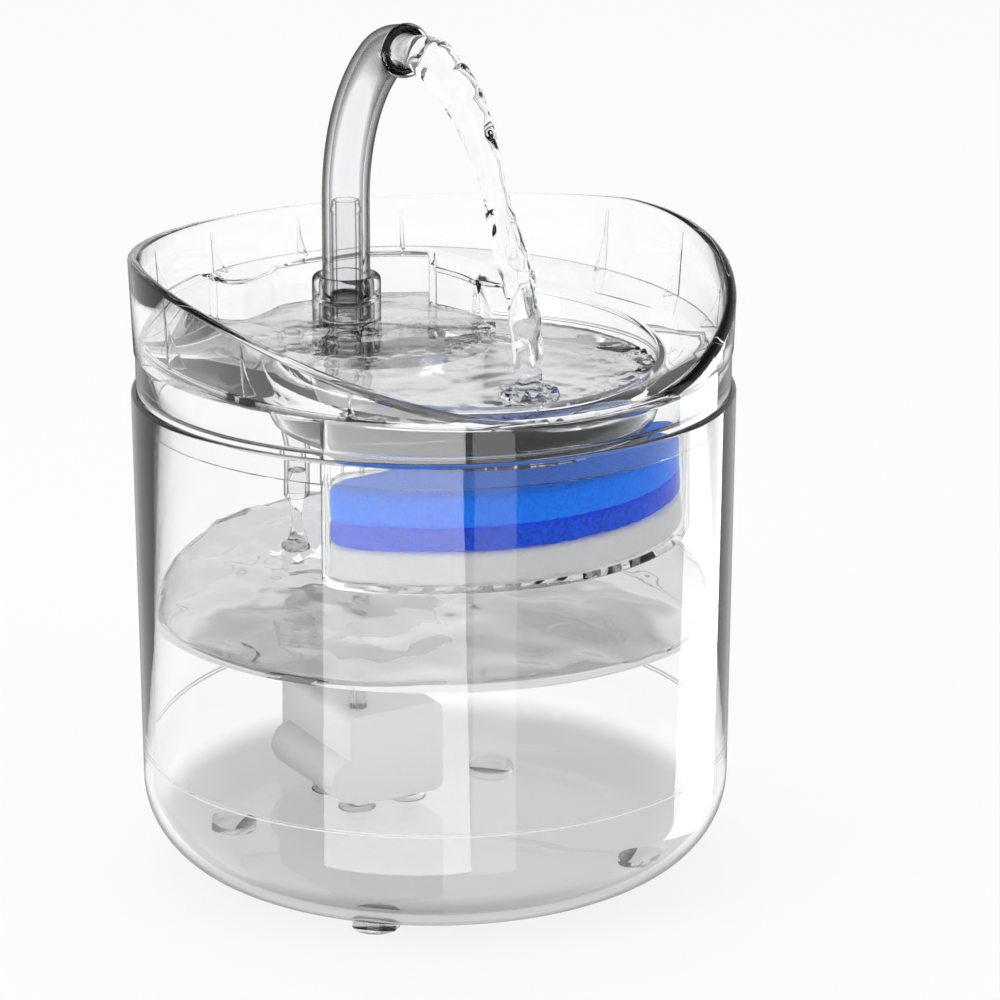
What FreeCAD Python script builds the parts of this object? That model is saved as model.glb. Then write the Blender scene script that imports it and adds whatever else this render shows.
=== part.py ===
import FreeCAD, Part
import math
import os
import Sketcher

# Pet water fountain: a clear round tank, a clear drinking tray with a gooseneck spout,
# a filter basket under the tray and a small pump on the tank floor. Millimetres, +Z up,
# origin at the middle of the base under the feet, front of the tray towards -Y.

V = FreeCAD.Vector
X_AXIS, Y_AXIS, Z_AXIS = V(1, 0, 0), V(0, 1, 0), V(0, 0, 1)
DOC = FreeCAD.newDocument("PetFountain")
SHEET = DOC.addObject("Spreadsheet::Sheet", "Sizes")
NODES = {}

DRIVING = [
    ("foot_height", 2.0, "visible height of the clear feet"),
    ("foot_radius", 7.2, "radius of one foot"),
    ("foot_circle", 66.0, "radius of the circle the feet stand on"),
    ("tank_radius", 92.0, "outer radius of the tank at its rim"),
    ("tank_taper", 1.6, "how much narrower the tank is at its base"),
    ("tank_height", 149.5, "tank height without the feet"),
    ("tank_wall", 2.6, "tank wall"),
    ("tank_floor", 3.0, "tank floor"),
    ("tank_corner", 27.0, "large rounding of the base edge"),
    ("fit_gap", 0.35, "clearance of the tray spigot in the tank"),
    ("spigot_depth", 8.0, "how far the tray reaches into the tank"),
    ("spigot_wall", 1.8, "wall of the tray spigot"),
    ("waist_inset", 1.5, "how far the collar's waist stands inside the tank's outside"),
    ("waist_height", 12.0, "height of the collar's waist"),
    ("waist_step", 0.5, "step above the waist"),
    ("collar_flare", 0.4, "how far the collar's crest stands outside the tank"),
    ("collar_wall", 1.6, "walls of the hollow collar"),
    ("collar_cap", 3.0, "solid cap along the collar's rim"),
    ("ledge_inset", 5.5, "where the collar's inside meets the deck, inside the tank's outside"),
    ("crest_inset", 2.6, "where the collar's inside ends at its crest, inside the tank's outside"),
    ("rim_front", 7.5, "collar height above the tank, front"),
    ("rim_bulge", 8.96, "how far the scooped rim bulges above a straight line to the crest"),
    ("rim_crest", 42.6, "highest collar height above the tank"),
    ("rim_crest_inset", 64.0, "place of the crest ahead of the tank's back"),
    ("rim_back", 37.5, "collar height above the tank, back"),
    ("fin_count", 16.0, "gusset fins round the collar"),
    ("fin_wall", 1.2, "thickness of a fin"),
    ("deck_rise", 17.3, "deck height above the tank rim on the axis"),
    ("deck_tilt", 3.97, "forward slope of the deck, degrees"),
    ("deck_plate", 2.2, "wall of the deck, pool and island"),
    ("pool_margin", 11.5, "deck between the pool's lip and the collar, front"),
    ("pool_shift", 13.0, "how far the lip circle stands forward"),
    ("pool_draft", 6.0, "how much narrower the pool is at its floor"),
    ("pool_depth", 22.3, "pool floor under the deck, on the axis"),
    ("island_radius", 36.0, "round island under the spout"),
    ("island_shift", 18.0, "centre of the island ahead of the spout axis"),
    ("island_rise", 6.5, "island top above the tank rim"),
    ("bay_margin", 6.5, "deck between the bay's back wall and the collar"),
    ("bay_step_angle", 28.0, "right end of the bay from the back, degrees"),
    ("bay_left_angle", 25.0, "left sweep of the bay from the back, degrees"),
    ("bay_front_angle", 70.0, "front end of the bay's left side, degrees"),
    ("bay_wave", 6.0, "how deep the wavy left edge swings in"),
    ("drain_count", 7.0, "drain slots in the pool floor"),
    ("drain_pitch", 6.0, "distance between drain slots"),
    ("drain_width", 2.4, "width of a drain slot"),
    ("drain_length", 4.0, "length of a drain slot"),
    ("drain_margin", 6.0, "drain slots inside the pool floor's edge"),
    ("spout_setback", 36.0, "spout axis ahead of the tank's back"),
    ("spout_radius", 7.5, "outer radius of the spout"),
    ("spout_wall", 2.2, "wall of the spout"),
    ("spout_straight", 38.5, "straight lower run of the spout"),
    ("spout_bend", 64.0, "radius of the long bend"),
    ("spout_hook", 23.6, "radius of the tight bend before the mouth"),
    ("spout_turn", 50.0, "angle of the long bend, degrees"),
    ("mouth_bead", 1.7, "section radius of the bead round the mouth"),
    ("boss_radius", 10.8, "outer radius of the spout socket"),
    ("boss_height", 16.0, "height of the spout socket"),
    ("socket_gap", 0.3, "clearance of the spout in its socket"),
    ("seal_section", 0.8, "section radius of the spout's sealing ring"),
    ("seal_slip", 0.04, "running clearance of the sealing ring"),
    ("riser_radius", 4.5, "outer radius of the riser pipe"),
    ("riser_wall", 1.2, "wall of the riser pipe"),
    ("riser_top", 46.5, "riser pipe end above the tank rim"),
    ("riser_hole_gap", 0.7, "clearance of the riser in the tray"),
    ("duct_x", -23.0, "cable duct, sideways"),
    ("duct_shift", 6.0, "cable duct ahead of the spout axis"),
    ("duct_bore", 3.1, "inner radius of the cable duct"),
    ("duct_wall", 1.1, "wall of the cable duct"),
    ("duct_drop", 58.0, "length of the cable duct under the island"),
    ("notch_width", 3.5, "width of the cable notch"),
    ("notch_x", -14.0, "cable notch, sideways"),
    ("notch_reach", 4.5, "how far the notch cuts in behind the bay"),
    ("notch_sill", 2.0, "notch above the bay's floor"),
    ("basket_gap", 6.75, "basket's curved front wall inside the spigot"),
    ("basket_back", 37.0, "flat back wall ahead of the axis"),
    ("basket_corner", 10.0, "rounding of the basket's upright corners"),
    ("basket_wall", 1.6, "basket wall"),
    ("basket_floor", 1.8, "basket floor"),
    ("basket_bottom", 42.5, "basket underside below the tank rim"),
    ("seat_gap", 0.3, "small clearance between seated pieces"),
    ("basket_vent", 3.0, "width of the floor slots"),
    ("basket_vent_pitch", 8.0, "distance between floor slots"),
    ("fleece_height", 10.0, "fleece pad"),
    ("foam_lower_height", 7.0, "lower foam pad"),
    ("foam_upper_height", 9.6, "upper foam pad"),
    ("pad_gap", 0.6, "clearance of the pads in the basket"),
    ("pump_width", 33.0, "pump across"),
    ("pump_height", 28.0, "pump, base to top"),
    ("pump_reach_front", 28.5, "front end of the pump housing ahead of the spout axis"),
    ("pump_reach_back", 11.0, "rear end of the pump housing behind the spout axis"),
    ("pump_round", 3.0, "rounding of the pump's long edges"),
    ("pump_wall", 2.0, "pump wall"),
    ("cap_plate", 2.5, "front end cap of the pump"),
    ("cover_plate", 5.0, "intake cover of the pump"),
    ("lobe_radius", 6.5, "long lobe low on the pump's side"),
    ("cup_height", 4.0, "suction cup height"),
    ("cup_radius", 6.0, "suction cup lip"),
    ("cup_x", 9.0, "suction cups, sideways"),
    ("cup_edge", 0.6, "thin edge of a cup's lip"),
    ("cup_front_inset", 7.5, "front pair of cups behind the housing's front end"),
    ("cup_back_inset", 14.0, "rear pair of cups ahead of the housing's rear end"),
    ("chamber_radius", 11.0, "impeller chamber"),
    ("chamber_depth", 16.5, "impeller chamber from the housing's rear end"),
    ("can_bore", 6.5, "bore of the rotor can"),
    ("can_wall", 0.8, "wall of the rotor can"),
    ("can_depth", 17.0, "rotor can in front of the chamber"),
    ("outlet_bore", 2.2, "bore of the outlet nozzle"),
    ("outlet_radius", 3.15, "outer radius of the outlet nozzle"),
    ("outlet_height", 10.0, "outlet nozzle above the pump"),
    ("sleeve_wall", 1.4, "wall of the soft outlet sleeve"),
    ("sleeve_height", 14.0, "soft outlet sleeve"),
    ("shaft_radius", 1.0, "rotor shaft"),
    ("shaft_slip", 0.05, "running clearance of the rotor on its shaft"),
    ("bush_radius", 2.5, "outer radius of a shaft bush"),
    ("bush_length", 2.0, "length of a shaft bush"),
    ("hub_radius", 2.2, "rotor sleeve"),
    ("magnet_radius", 5.9, "rotor magnet"),
    ("magnet_length", 13.0, "rotor magnet"),
    ("impeller_radius", 9.6, "impeller"),
    ("impeller_length", 8.5, "impeller vanes along the shaft"),
    ("vane_count", 6.0, "impeller vanes"),
    ("vane_wall", 1.2, "vane thickness"),
    ("stator_radius", 11.4, "outside of the stator stack"),
    ("stator_back", 1.5, "stator ring thickness"),
    ("stator_length", 11.0, "stator stack length"),
    ("tooth_count", 4.0, "stator teeth"),
    ("tooth_width", 3.0, "stator tooth width"),
    ("coil_wall", 1.5, "winding build on each tooth"),
    ("board_wall", 1.6, "driver board"),
    ("board_lift", 1.2, "driver board off the end cap"),
    ("gland_radius", 3.0, "cable gland"),
    ("gland_height", 5.0, "cable gland above the pump"),
    ("gland_x", -9.0, "cable gland, sideways"),
    ("gland_inset", 6.5, "cable gland behind the housing's front end"),
    ("gasket_width", 1.5, "cover gasket width"),
    ("gasket_height", 0.8, "cover gasket thickness"),
    ("press_gap", 0.02, "gap drawn between pressed pieces"),
    ("rotor_float", 0.5, "end float of the rotor at its front bush"),
    ("stator_gap", 0.2, "stator teeth outside the rotor can"),
    ("motor_gap", 0.3, "housing outside the stator stack"),
    ("impeller_float", 0.8, "impeller behind the front of its chamber"),
    ("impeller_disc", 1.2, "disc of the impeller"),
]


class Size:
    """A length or angle of the sheet, or a sum or product of them, as text and as a number."""

    def __init__(self, text, value):
        self.text = text
        self.value = value

    def joined(self, sign, other, value):
        return Size("({} {} {})".format(self.text, sign, other.text), value)

    def __add__(self, other):
        other = sized(other)
        return self.joined("+", other, self.value + other.value)

    def __sub__(self, other):
        other = sized(other)
        return self.joined("-", other, self.value - other.value)

    def __mul__(self, other):
        other = sized(other)
        return self.joined("*", other, self.value * other.value)

    def __truediv__(self, other):
        other = sized(other)
        return self.joined("/", other, self.value / other.value)

    def __radd__(self, other):
        return sized(other) + self

    def __rsub__(self, other):
        return sized(other) - self

    def __rmul__(self, other):
        return sized(other) * self

    def __neg__(self):
        return sized(0) - self

    def sine(self):
        return Size("sin({})".format(self.text), math.sin(math.radians(self.value)))

    def cosine(self):
        return Size("cos({})".format(self.text), math.cos(math.radians(self.value)))


def sized(number):
    return number if isinstance(number, Size) else Size(repr(float(number)), float(number))


class Sizes:
    """The driving dimensions, read back from the sheet by name."""


def read_sheet():
    sizes = Sizes()
    for row, (alias, value, meaning) in enumerate(DRIVING, start=1):
        SHEET.set("A{}".format(row), alias)
        SHEET.set("B{}".format(row), repr(value))
        SHEET.set("C{}".format(row), meaning)
        SHEET.setAlias("B{}".format(row), alias)
    DOC.recompute()
    for alias, _, _ in DRIVING:
        setattr(sizes, alias, Size("Sizes." + alias, float(SHEET.get(alias))))
    return sizes


S = read_sheet()


# Derived levels and places

TANK_BASE = S.foot_height
RIM = S.foot_height + S.tank_height
FLOOR_TOP = S.foot_height + S.tank_floor
TANK_BORE = S.tank_radius - S.tank_wall
TANK_BASE_RADIUS = S.tank_radius - S.tank_taper
SPIGOT = TANK_BORE - S.fit_gap
WAIST = S.tank_radius - S.waist_inset
COLLAR = S.tank_radius + S.collar_flare
LEDGE = S.tank_radius - S.ledge_inset
CREST_BORE = S.tank_radius - S.crest_inset
POOL_RADIUS = LEDGE - S.pool_margin - S.pool_shift
POOL_FLOOR_RADIUS = POOL_RADIUS - S.pool_draft
POOL_FLOOR_Y = -(S.pool_shift + S.pool_draft)
BAY_RADIUS = LEDGE - S.bay_margin
SPOUT_Y = S.tank_radius - S.spout_setback
ISLAND_Y = SPOUT_Y - S.island_shift
DUCT_Y = SPOUT_Y - S.duct_shift
BASKET_RADIUS = SPIGOT - S.spigot_wall - S.basket_gap
ISLAND_TOP = RIM + S.island_rise
POOL_FLOOR = RIM + S.deck_rise - S.pool_depth
COLLAR_TOP = RIM + S.rim_crest + 4
SPOUT_BASE = ISLAND_TOP + S.seat_gap
SPOUT_BEND_LEVEL = SPOUT_BASE + S.spout_straight
SPOUT_TOP = SPOUT_BEND_LEVEL + S.spout_bend * S.spout_turn.sine() + S.spout_hook * (1 - S.spout_turn.sine())
MOUTH_Y = SPOUT_Y - S.spout_bend * (1 - S.spout_turn.cosine()) - S.spout_hook * S.spout_turn.cosine()
SOCKET = S.spout_radius + S.socket_gap
SPOUT_BORE = S.spout_radius - S.spout_wall
SEAL_RING = S.spout_radius + S.seal_slip + S.seal_section
SEAL_LEVEL = ISLAND_TOP + S.boss_height / 2
BASKET_BASE = RIM - S.basket_bottom
PUMP_BASE = FLOOR_TOP + S.cup_height
PUMP_TOP = PUMP_BASE + S.pump_height
PUMP_AXIS = PUMP_BASE + S.pump_height / 2
PUMP_FRONT = SPOUT_Y - S.pump_reach_front
PUMP_BACK = SPOUT_Y + S.pump_reach_back
GLAND_Y = PUMP_FRONT + S.gland_inset
CHAMBER_FRONT = PUMP_BACK - S.chamber_depth
CAN_FRONT = CHAMBER_FRONT - S.can_depth
ROTOR_FRONT = CAN_FRONT + S.bush_length + S.rotor_float
SHAFT_END = PUMP_BACK + S.bush_length
STATOR_BORE = S.can_bore + S.can_wall + S.stator_gap
RISER_BORE = S.riser_radius - S.riser_wall


# Building helpers

def bind(item, **values):
    """Bind properties to sizes; a double underscore in a name stands for a dot."""
    for name, value in values.items():
        item.setExpression(name.replace("__", "."), sized(value).text)
    return item


def put(item, spot, axis=Z_AXIS, angle=0.0):
    """Turn an object and bind its place."""
    item.Placement = FreeCAD.Placement(V(*[sized(s).value for s in spot]), FreeCAD.Rotation(axis, angle))
    return bind(item, Placement__Base__x=spot[0], Placement__Base__y=spot[1], Placement__Base__z=spot[2])


def origin_plane(body, role):
    return next(f for f in body.Origin.OriginFeatures if f.Role == role)


def closed_sketch(body, name, role, corners):
    """A closed polygon sketch whose corners are bound to the sheet."""
    sketch = body.newObject("Sketcher::SketchObject", name)
    sketch.AttachmentSupport = [(origin_plane(body, role), "")]
    sketch.MapMode = "FlatFace"
    spots = [(sized(a), sized(b)) for a, b in corners]
    count = len(spots)
    for i in range(count):
        a, b = spots[i], spots[(i + 1) % count]
        sketch.addGeometry(Part.LineSegment(V(a[0].value, a[1].value, 0), V(b[0].value, b[1].value, 0)))
    for i in range(count):
        sketch.addConstraint(Sketcher.Constraint("Coincident", i, 2, (i + 1) % count, 1))
    for i, spot in enumerate(spots):
        for kind, size, axis in (("DistanceX", spot[0], -2), ("DistanceY", spot[1], -1)):
            if size.text == "0.0":
                sketch.addConstraint(Sketcher.Constraint("PointOnObject", i, 1, axis))
                continue
            index = sketch.addConstraint(Sketcher.Constraint(kind, -1, 1, i, 1, size.value))
            title = "{}{}".format(kind, i)
            sketch.renameConstraint(index, title)
            sketch.setExpression("Constraints." + title, size.text)
    return sketch


def turned(label, corners, spot=(0, 0, 0), axis=Z_AXIS, angle=0.0):
    """A turned piece: corners are (radius, level) pairs of its half section."""
    body = DOC.addObject("PartDesign::Body", label)
    sketch = closed_sketch(body, label + "_section", "XZ_Plane", corners)
    turn = body.newObject("PartDesign::Revolution", label + "_turn")
    turn.Profile = sketch
    turn.ReferenceAxis = (sketch, ["V_Axis"])
    turn.Angle = 360
    return put(body, spot, axis, angle)


def rounded(body, radius, wanted, name="round"):
    """Fillet the edges of a body's tip that the test picks."""
    DOC.recompute()
    base = body.Tip
    names = ["Edge{}".format(i) for i, e in enumerate(base.Shape.Edges, start=1) if wanted(e)]
    fillet = body.newObject("PartDesign::Fillet", body.Name + "_" + name)
    fillet.Base = (base, names)
    bind(fillet, Radius=radius)
    return body


def ring_edge(level, radius, slack=0.05):
    """Picks full circles about the piece's own axis."""
    def test(edge):
        curve = edge.Curve
        if not isinstance(curve, Part.Circle):
            return False
        return abs(edge.BoundBox.ZMin - level.value) < slack and abs(curve.Radius - radius.value) < slack
    return test


def block(label, x0, x1, y0, y1, z0, z1):
    box = DOC.addObject("Part::Box", label)
    bind(box, Length=sized(x1) - x0, Width=sized(y1) - y0, Height=sized(z1) - z0)
    return put(box, (x0, y0, z0))


def rod(label, radius, length, spot, axis=Z_AXIS, angle=0.0):
    cylinder = DOC.addObject("Part::Cylinder", label)
    bind(cylinder, Radius=radius, Height=length)
    return put(cylinder, spot, axis, angle)


def along_y(label, radius, start, end, x=0, z=PUMP_AXIS):
    return rod(label, radius, sized(end) - start, (x, start, z), X_AXIS, -90.0)


def cut(label, base, tool):
    item = DOC.addObject("Part::Cut", label)
    item.Base, item.Tool = base, tool
    return item


def join(label, pieces):
    item = DOC.addObject("Part::MultiFuse", label)
    item.Shapes = pieces
    item.Refine = True
    return item


def group(label, pieces):
    item = DOC.addObject("Part::Compound", label)
    item.Links = pieces
    return item


def common(label, base, tool):
    item = DOC.addObject("Part::Common", label)
    item.Base, item.Tool = base, tool
    return item


def node(name, item):
    item.Label = name
    NODES[name] = item
    return item


# Tank and feet

def make_tank():
    body = turned("tank_shell", [
        (0, TANK_BASE), (TANK_BASE_RADIUS, TANK_BASE), (S.tank_radius, RIM), (0, RIM)])
    inner = TANK_BASE_RADIUS - S.tank_wall
    section = closed_sketch(body, "tank_hollow", "XZ_Plane", [
        (0, FLOOR_TOP), (inner, FLOOR_TOP), (TANK_BORE, RIM), (TANK_BORE, RIM + 5), (0, RIM + 5)])
    groove = body.newObject("PartDesign::Groove", "tank_groove")
    groove.Profile = section
    groove.ReferenceAxis = (section, ["V_Axis"])
    groove.Angle = 360
    rounded(body, S.tank_corner - S.tank_wall, ring_edge(FLOOR_TOP, inner), "floor_round")
    rounded(body, S.tank_corner, ring_edge(TANK_BASE, TANK_BASE_RADIUS), "base_round")
    rounded(body, S.tank_wall / 3, ring_edge(RIM, S.tank_radius), "rim_round")
    return node("tank", body)


def make_feet(tank):
    diagonal = S.foot_circle * sized(45).cosine()
    feet = []
    for i, (sx, sy) in enumerate(((1, 1), (-1, 1), (-1, -1), (1, -1))):
        foot = rod("foot_{}".format(i), S.foot_radius, S.foot_height + S.tank_floor * 0.9,
                   (diagonal * sx, diagonal * sy, 0))
        feet.append(cut("foot_seat_{}".format(i), foot, tank))
    return node("clear_feet", group("feet", feet))


# Drinking tray: one clear moulding, built from solids of revolution and prisms

def ring_solid(corners):
    wire = Part.makePolygon([V(r, 0, z) for r, z in corners + corners[:1]])
    return Part.Face(wire).revolve(V(0, 0, 0), Z_AXIS, 360)


def disc(radius, y, low, high):
    return Part.makeCylinder(radius, high - low, V(0, y, low))


def under_rim_curve(drop):
    """Everything below the scooped rim line, lowered by drop."""
    rim, far = RIM.value - drop, S.tank_radius.value + 1
    front = V(0, -S.tank_radius.value, rim + S.rim_front.value)
    crest = V(0, S.tank_radius.value - S.rim_crest_inset.value, rim + S.rim_crest.value)
    back = V(0, far, rim + S.rim_back.value)
    chord = crest - front
    bulge = V(0, -chord.z, chord.y).normalize() * S.rim_bulge.value
    arc = Part.Arc(front, (front + crest) * 0.5 + bulge, crest).toShape()
    outline = [arc, Part.LineSegment(crest, back).toShape()]
    corners = [back, V(0, far, 0), V(0, -far, 0), V(0, -far, front.z), front]
    outline += [Part.LineSegment(a, b).toShape() for a, b in zip(corners, corners[1:])]
    face = Part.Face(Part.Wire(outline))
    face.translate(V(-far - 5, 0, 0))
    return face.extrude(V(2 * far + 10, 0, 0))


def over_deck(drop):
    """Everything above the sloping deck plane, lowered by drop."""
    reach = 2 * S.tank_radius.value
    slab = Part.makeBox(2 * reach, 2 * reach, reach, V(-reach, -reach, 0))
    slab.rotate(V(0, 0, 0), X_AXIS, S.deck_tilt.value)
    slab.translate(V(0, 0, RIM.value + S.deck_rise.value - drop))
    return slab


def pool_form(grow, low):
    """The pool's body: an oblique cone from its floor circle to its lip circle."""
    lip_level = RIM.value + S.deck_rise.value + 3
    floor = Part.Circle(V(0, POOL_FLOOR_Y.value, low), Z_AXIS, POOL_FLOOR_RADIUS.value + grow).toShape()
    lip = Part.Circle(V(0, -S.pool_shift.value, lip_level), Z_AXIS, POOL_RADIUS.value + grow).toShape()
    bowl = Part.makeLoft([Part.Wire(floor), Part.Wire(lip)], True, True)
    above = disc(POOL_RADIUS.value + grow, -S.pool_shift.value, lip_level, COLLAR_TOP.value)
    return bowl.fuse(above)


def back_point(radius, angle):
    """A point of the deck's plan; the angle is from the back, positive to the right."""
    turn = math.radians(angle)
    return V(radius * math.sin(turn), radius * math.cos(turn), 0)


def bay_outline():
    """Plan of the sunken bay: radial step, back arc, wavy left edge, left side, pool side."""
    wall, ledge = BAY_RADIUS.value, LEDGE.value
    step, left, front = S.bay_step_angle.value, S.bay_left_angle.value, S.bay_front_angle.value
    step_in = back_point(POOL_RADIUS.value - S.pool_shift.value, step)
    step_out = back_point(wall, step)
    wave_top = back_point(wall - 1, -left * 0.35)
    wave_low = back_point(wall - S.bay_wave.value, -left * 0.93)
    wave_end = back_point(ledge, -left)
    side_front = back_point(ledge, -front)
    pool_side = V(-POOL_RADIUS.value + 8, -S.pool_shift.value + 8, 0)
    edges = [
        Part.LineSegment(step_in, step_out).toShape(),
        Part.Arc(step_out, back_point(wall, 0), wave_top).toShape(),
        Part.Arc(wave_top, back_point(wall - S.bay_wave.value * 0.75, -left * 0.62), wave_low).toShape(),
        Part.Arc(wave_low, back_point(wall, -left * 1.07), wave_end).toShape(),
        Part.Arc(wave_end, back_point(ledge, -(left + front) / 2), side_front).toShape(),
        Part.LineSegment(side_front, pool_side).toShape(),
        Part.LineSegment(pool_side, step_in).toShape(),
    ]
    return Part.Wire(edges)


def prism(face, low, high):
    solid = face.extrude(V(0, 0, high - low))
    solid.translate(V(0, 0, low))
    return solid


def collar_shape():
    rim, top = RIM.value, COLLAR_TOP.value
    wall, spigot, waist = S.collar_wall.value, SPIGOT.value, WAIST.value
    waist_top, step = rim + S.waist_height.value, S.waist_step.value
    spigot_in = spigot - S.spigot_wall.value
    ledge, inner_top = LEDGE.value, CREST_BORE.value
    outer = ring_solid([
        (spigot_in, rim - S.spigot_depth.value), (spigot, rim - S.spigot_depth.value), (spigot, rim),
        (waist, rim), (waist, waist_top), (waist + step, waist_top + step),
        (COLLAR.value, top), (COLLAR.value - wall, top),
        (waist + step - wall, waist_top + step), (waist - wall, waist_top - 2), (spigot_in, rim + 2)])
    inner_low = rim + S.rim_front.value - 2
    inner = ring_solid([(ledge, inner_low), (ledge + wall, inner_low),
                        (inner_top + wall, top), (inner_top, top)])
    full = ring_solid([
        (ledge, inner_low), (waist, inner_low), (waist, waist_top), (waist + step, waist_top + step),
        (COLLAR.value, top), (inner_top, top)])
    cap = full.cut(under_rim_curve(S.collar_cap.value))
    count = int(round(S.fin_count.value))
    fins = []
    for i in range(count):
        fin = Part.makeBox(S.tank_radius.value, S.fin_wall.value, top, V(0, -S.fin_wall.value / 2, 0))
        fin.rotate(V(0, 0, 0), Z_AXIS, 90 + 360.0 * i / count)
        fins.append(fin)
    gussets = full.common(Part.makeCompound(fins))
    above = over_deck(S.deck_plate.value)
    return outer.fuse([inner.common(above), cap, gussets.common(above)]).common(under_rim_curve(0))


def drinking_tray_shape():
    plate, rim = S.deck_plate.value, RIM.value
    ledge, top = LEDGE.value, COLLAR_TOP.value
    above_deck = over_deck(0)
    under_deck = disc(ledge + plate, 0, POOL_FLOOR.value - 2 * plate, top).cut(above_deck)
    deck = disc(ledge + S.collar_wall.value / 2, 0, rim, top).cut(above_deck).common(over_deck(plate))

    island_y, island_top = ISLAND_Y.value, ISLAND_TOP.value
    floor, low = POOL_FLOOR.value, POOL_FLOOR.value - plate
    bay = Part.Face(bay_outline())
    bay_wide = bay.makeOffset2D(plate)
    island = disc(S.island_radius.value, island_y, low, island_top)
    island_room = disc(S.island_radius.value, island_y, island_top, top)
    island_hollow = disc(S.island_radius.value - plate, island_y, low - 5, island_top - plate)

    bowl = pool_form(plate, low).common(under_deck)
    bay_walls = prism(bay_wide, island_top - plate, top).common(under_deck)
    island_walls = disc(S.island_radius.value + plate, island_y, island_top - plate, top).common(under_deck)
    pool_room = pool_form(0, floor).cut(island)
    bay_room = prism(bay, island_top, top)

    body = collar_shape().fuse([deck, bowl, bay_walls, island_walls, island])
    body = body.cut([pool_room, bay_room, island_room, island_hollow])

    socket_y, duct = SPOUT_Y.value, V(S.duct_x.value, DUCT_Y.value, 0)
    boss = disc(S.boss_radius.value, socket_y, island_top - plate / 2, island_top + S.boss_height.value)
    boss = boss.makeChamfer(1.0, [e for e in boss.Edges if e.BoundBox.ZMin > island_top + 1
                                  and isinstance(e.Curve, Part.Circle)])
    duct_low = island_top - S.duct_drop.value
    duct_tube = Part.makeCylinder(S.duct_bore.value + S.duct_wall.value, S.duct_drop.value - plate / 2,
                                  duct + V(0, 0, duct_low))
    body = body.fuse([boss, duct_tube])

    socket = disc(SOCKET.value, socket_y, island_top, top)
    groove = Part.makeTorus(SEAL_RING.value, S.seal_section.value + 0.1, V(0, socket_y, SEAL_LEVEL.value))
    riser_hole = disc(S.riser_radius.value + S.riser_hole_gap.value, socket_y, low - 10, top)
    duct_bore = Part.makeCylinder(S.duct_bore.value, S.duct_drop.value + 10, duct + V(0, 0, duct_low - 1))
    notch_start, sill = socket_y + S.boss_radius.value, island_top + S.notch_sill.value
    notch_end, notch_width = BAY_RADIUS.value + S.notch_reach.value, S.notch_width.value
    notch = Part.makeBox(notch_width, notch_end - notch_start, top - sill,
                         V(S.notch_x.value - notch_width / 2, notch_start, sill))
    drains = []
    count = int(round(S.drain_count.value))
    drain_radius = POOL_FLOOR_RADIUS.value - S.drain_margin.value
    pitch = math.degrees(S.drain_pitch.value / drain_radius)
    for i in range(count):
        slot = Part.makeBox(S.drain_width.value, S.drain_length.value, 3 * plate,
                            V(-S.drain_width.value / 2, -drain_radius, low - plate))
        slot.rotate(V(0, 0, 0), Z_AXIS, pitch * (i - (count - 1) / 2))
        slot.translate(V(0, POOL_FLOOR_Y.value, 0))
        drains.append(slot)
    return body.cut([socket, groove, riser_hole, duct_bore, notch] + drains).removeSplitter()


def make_tray():
    tray = DOC.addObject("Part::Feature", "drinking_tray")
    shape = drinking_tray_shape()
    tray.Shape = shape.Solids[0] if len(shape.Solids) == 1 else shape
    return node("drinking_tray", tray)


# Spout, its sealing ring and the riser pipe

def spine_sketch(body):
    """Path of the spout in its own YZ plane: straight run, long bend, tight bend."""
    sketch = body.newObject("Sketcher::SketchObject", "spout_path")
    sketch.AttachmentSupport = [(origin_plane(body, "YZ_Plane"), "")]
    sketch.MapMode = "FlatFace"
    straight, bend, hook = S.spout_straight.value, S.spout_bend.value, S.spout_hook.value
    turn = math.radians(S.spout_turn.value)
    middle = V(-bend, straight, 0)
    joint = middle + V(bend * math.cos(turn), bend * math.sin(turn), 0)
    centre = joint - V(hook * math.cos(turn), hook * math.sin(turn), 0)
    sketch.addGeometry(Part.LineSegment(V(0, 0, 0), V(0, straight, 0)))
    sketch.addGeometry(Part.ArcOfCircle(Part.Circle(middle, Z_AXIS, bend), 0, turn))
    sketch.addGeometry(Part.ArcOfCircle(Part.Circle(centre, Z_AXIS, hook), turn, math.pi / 2))
    add = sketch.addConstraint
    add(Sketcher.Constraint("Coincident", 0, 1, -1, 1))
    add(Sketcher.Constraint("Vertical", 0))
    add(Sketcher.Constraint("Tangent", 0, 2, 1, 1))
    add(Sketcher.Constraint("Tangent", 1, 2, 2, 1))
    add(Sketcher.Constraint("Vertical", 2, 3, 2, 2))
    for title, constraint, size in (
            ("run", Sketcher.Constraint("DistanceY", 0, 1, 0, 2, straight), S.spout_straight),
            ("bend", Sketcher.Constraint("Radius", 1, bend), S.spout_bend),
            ("hook", Sketcher.Constraint("Radius", 2, hook), S.spout_hook),
            ("rise", Sketcher.Constraint("DistanceY", 0, 2, 1, 2, bend * math.sin(turn)),
             S.spout_bend * S.spout_turn.sine())):
        sketch.renameConstraint(add(constraint), title)
        sketch.setExpression("Constraints." + title, size.text)
    return sketch


def round_sketch(body, name, radius):
    sketch = body.newObject("Sketcher::SketchObject", name)
    sketch.AttachmentSupport = [(origin_plane(body, "XY_Plane"), "")]
    sketch.MapMode = "FlatFace"
    sketch.addGeometry(Part.Circle(V(0, 0, 0), Z_AXIS, radius.value))
    sketch.addConstraint(Sketcher.Constraint("Coincident", 0, 3, -1, 1))
    sketch.renameConstraint(sketch.addConstraint(Sketcher.Constraint("Radius", 0, radius.value)), "radius")
    sketch.setExpression("Constraints.radius", radius.text)
    return sketch


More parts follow.
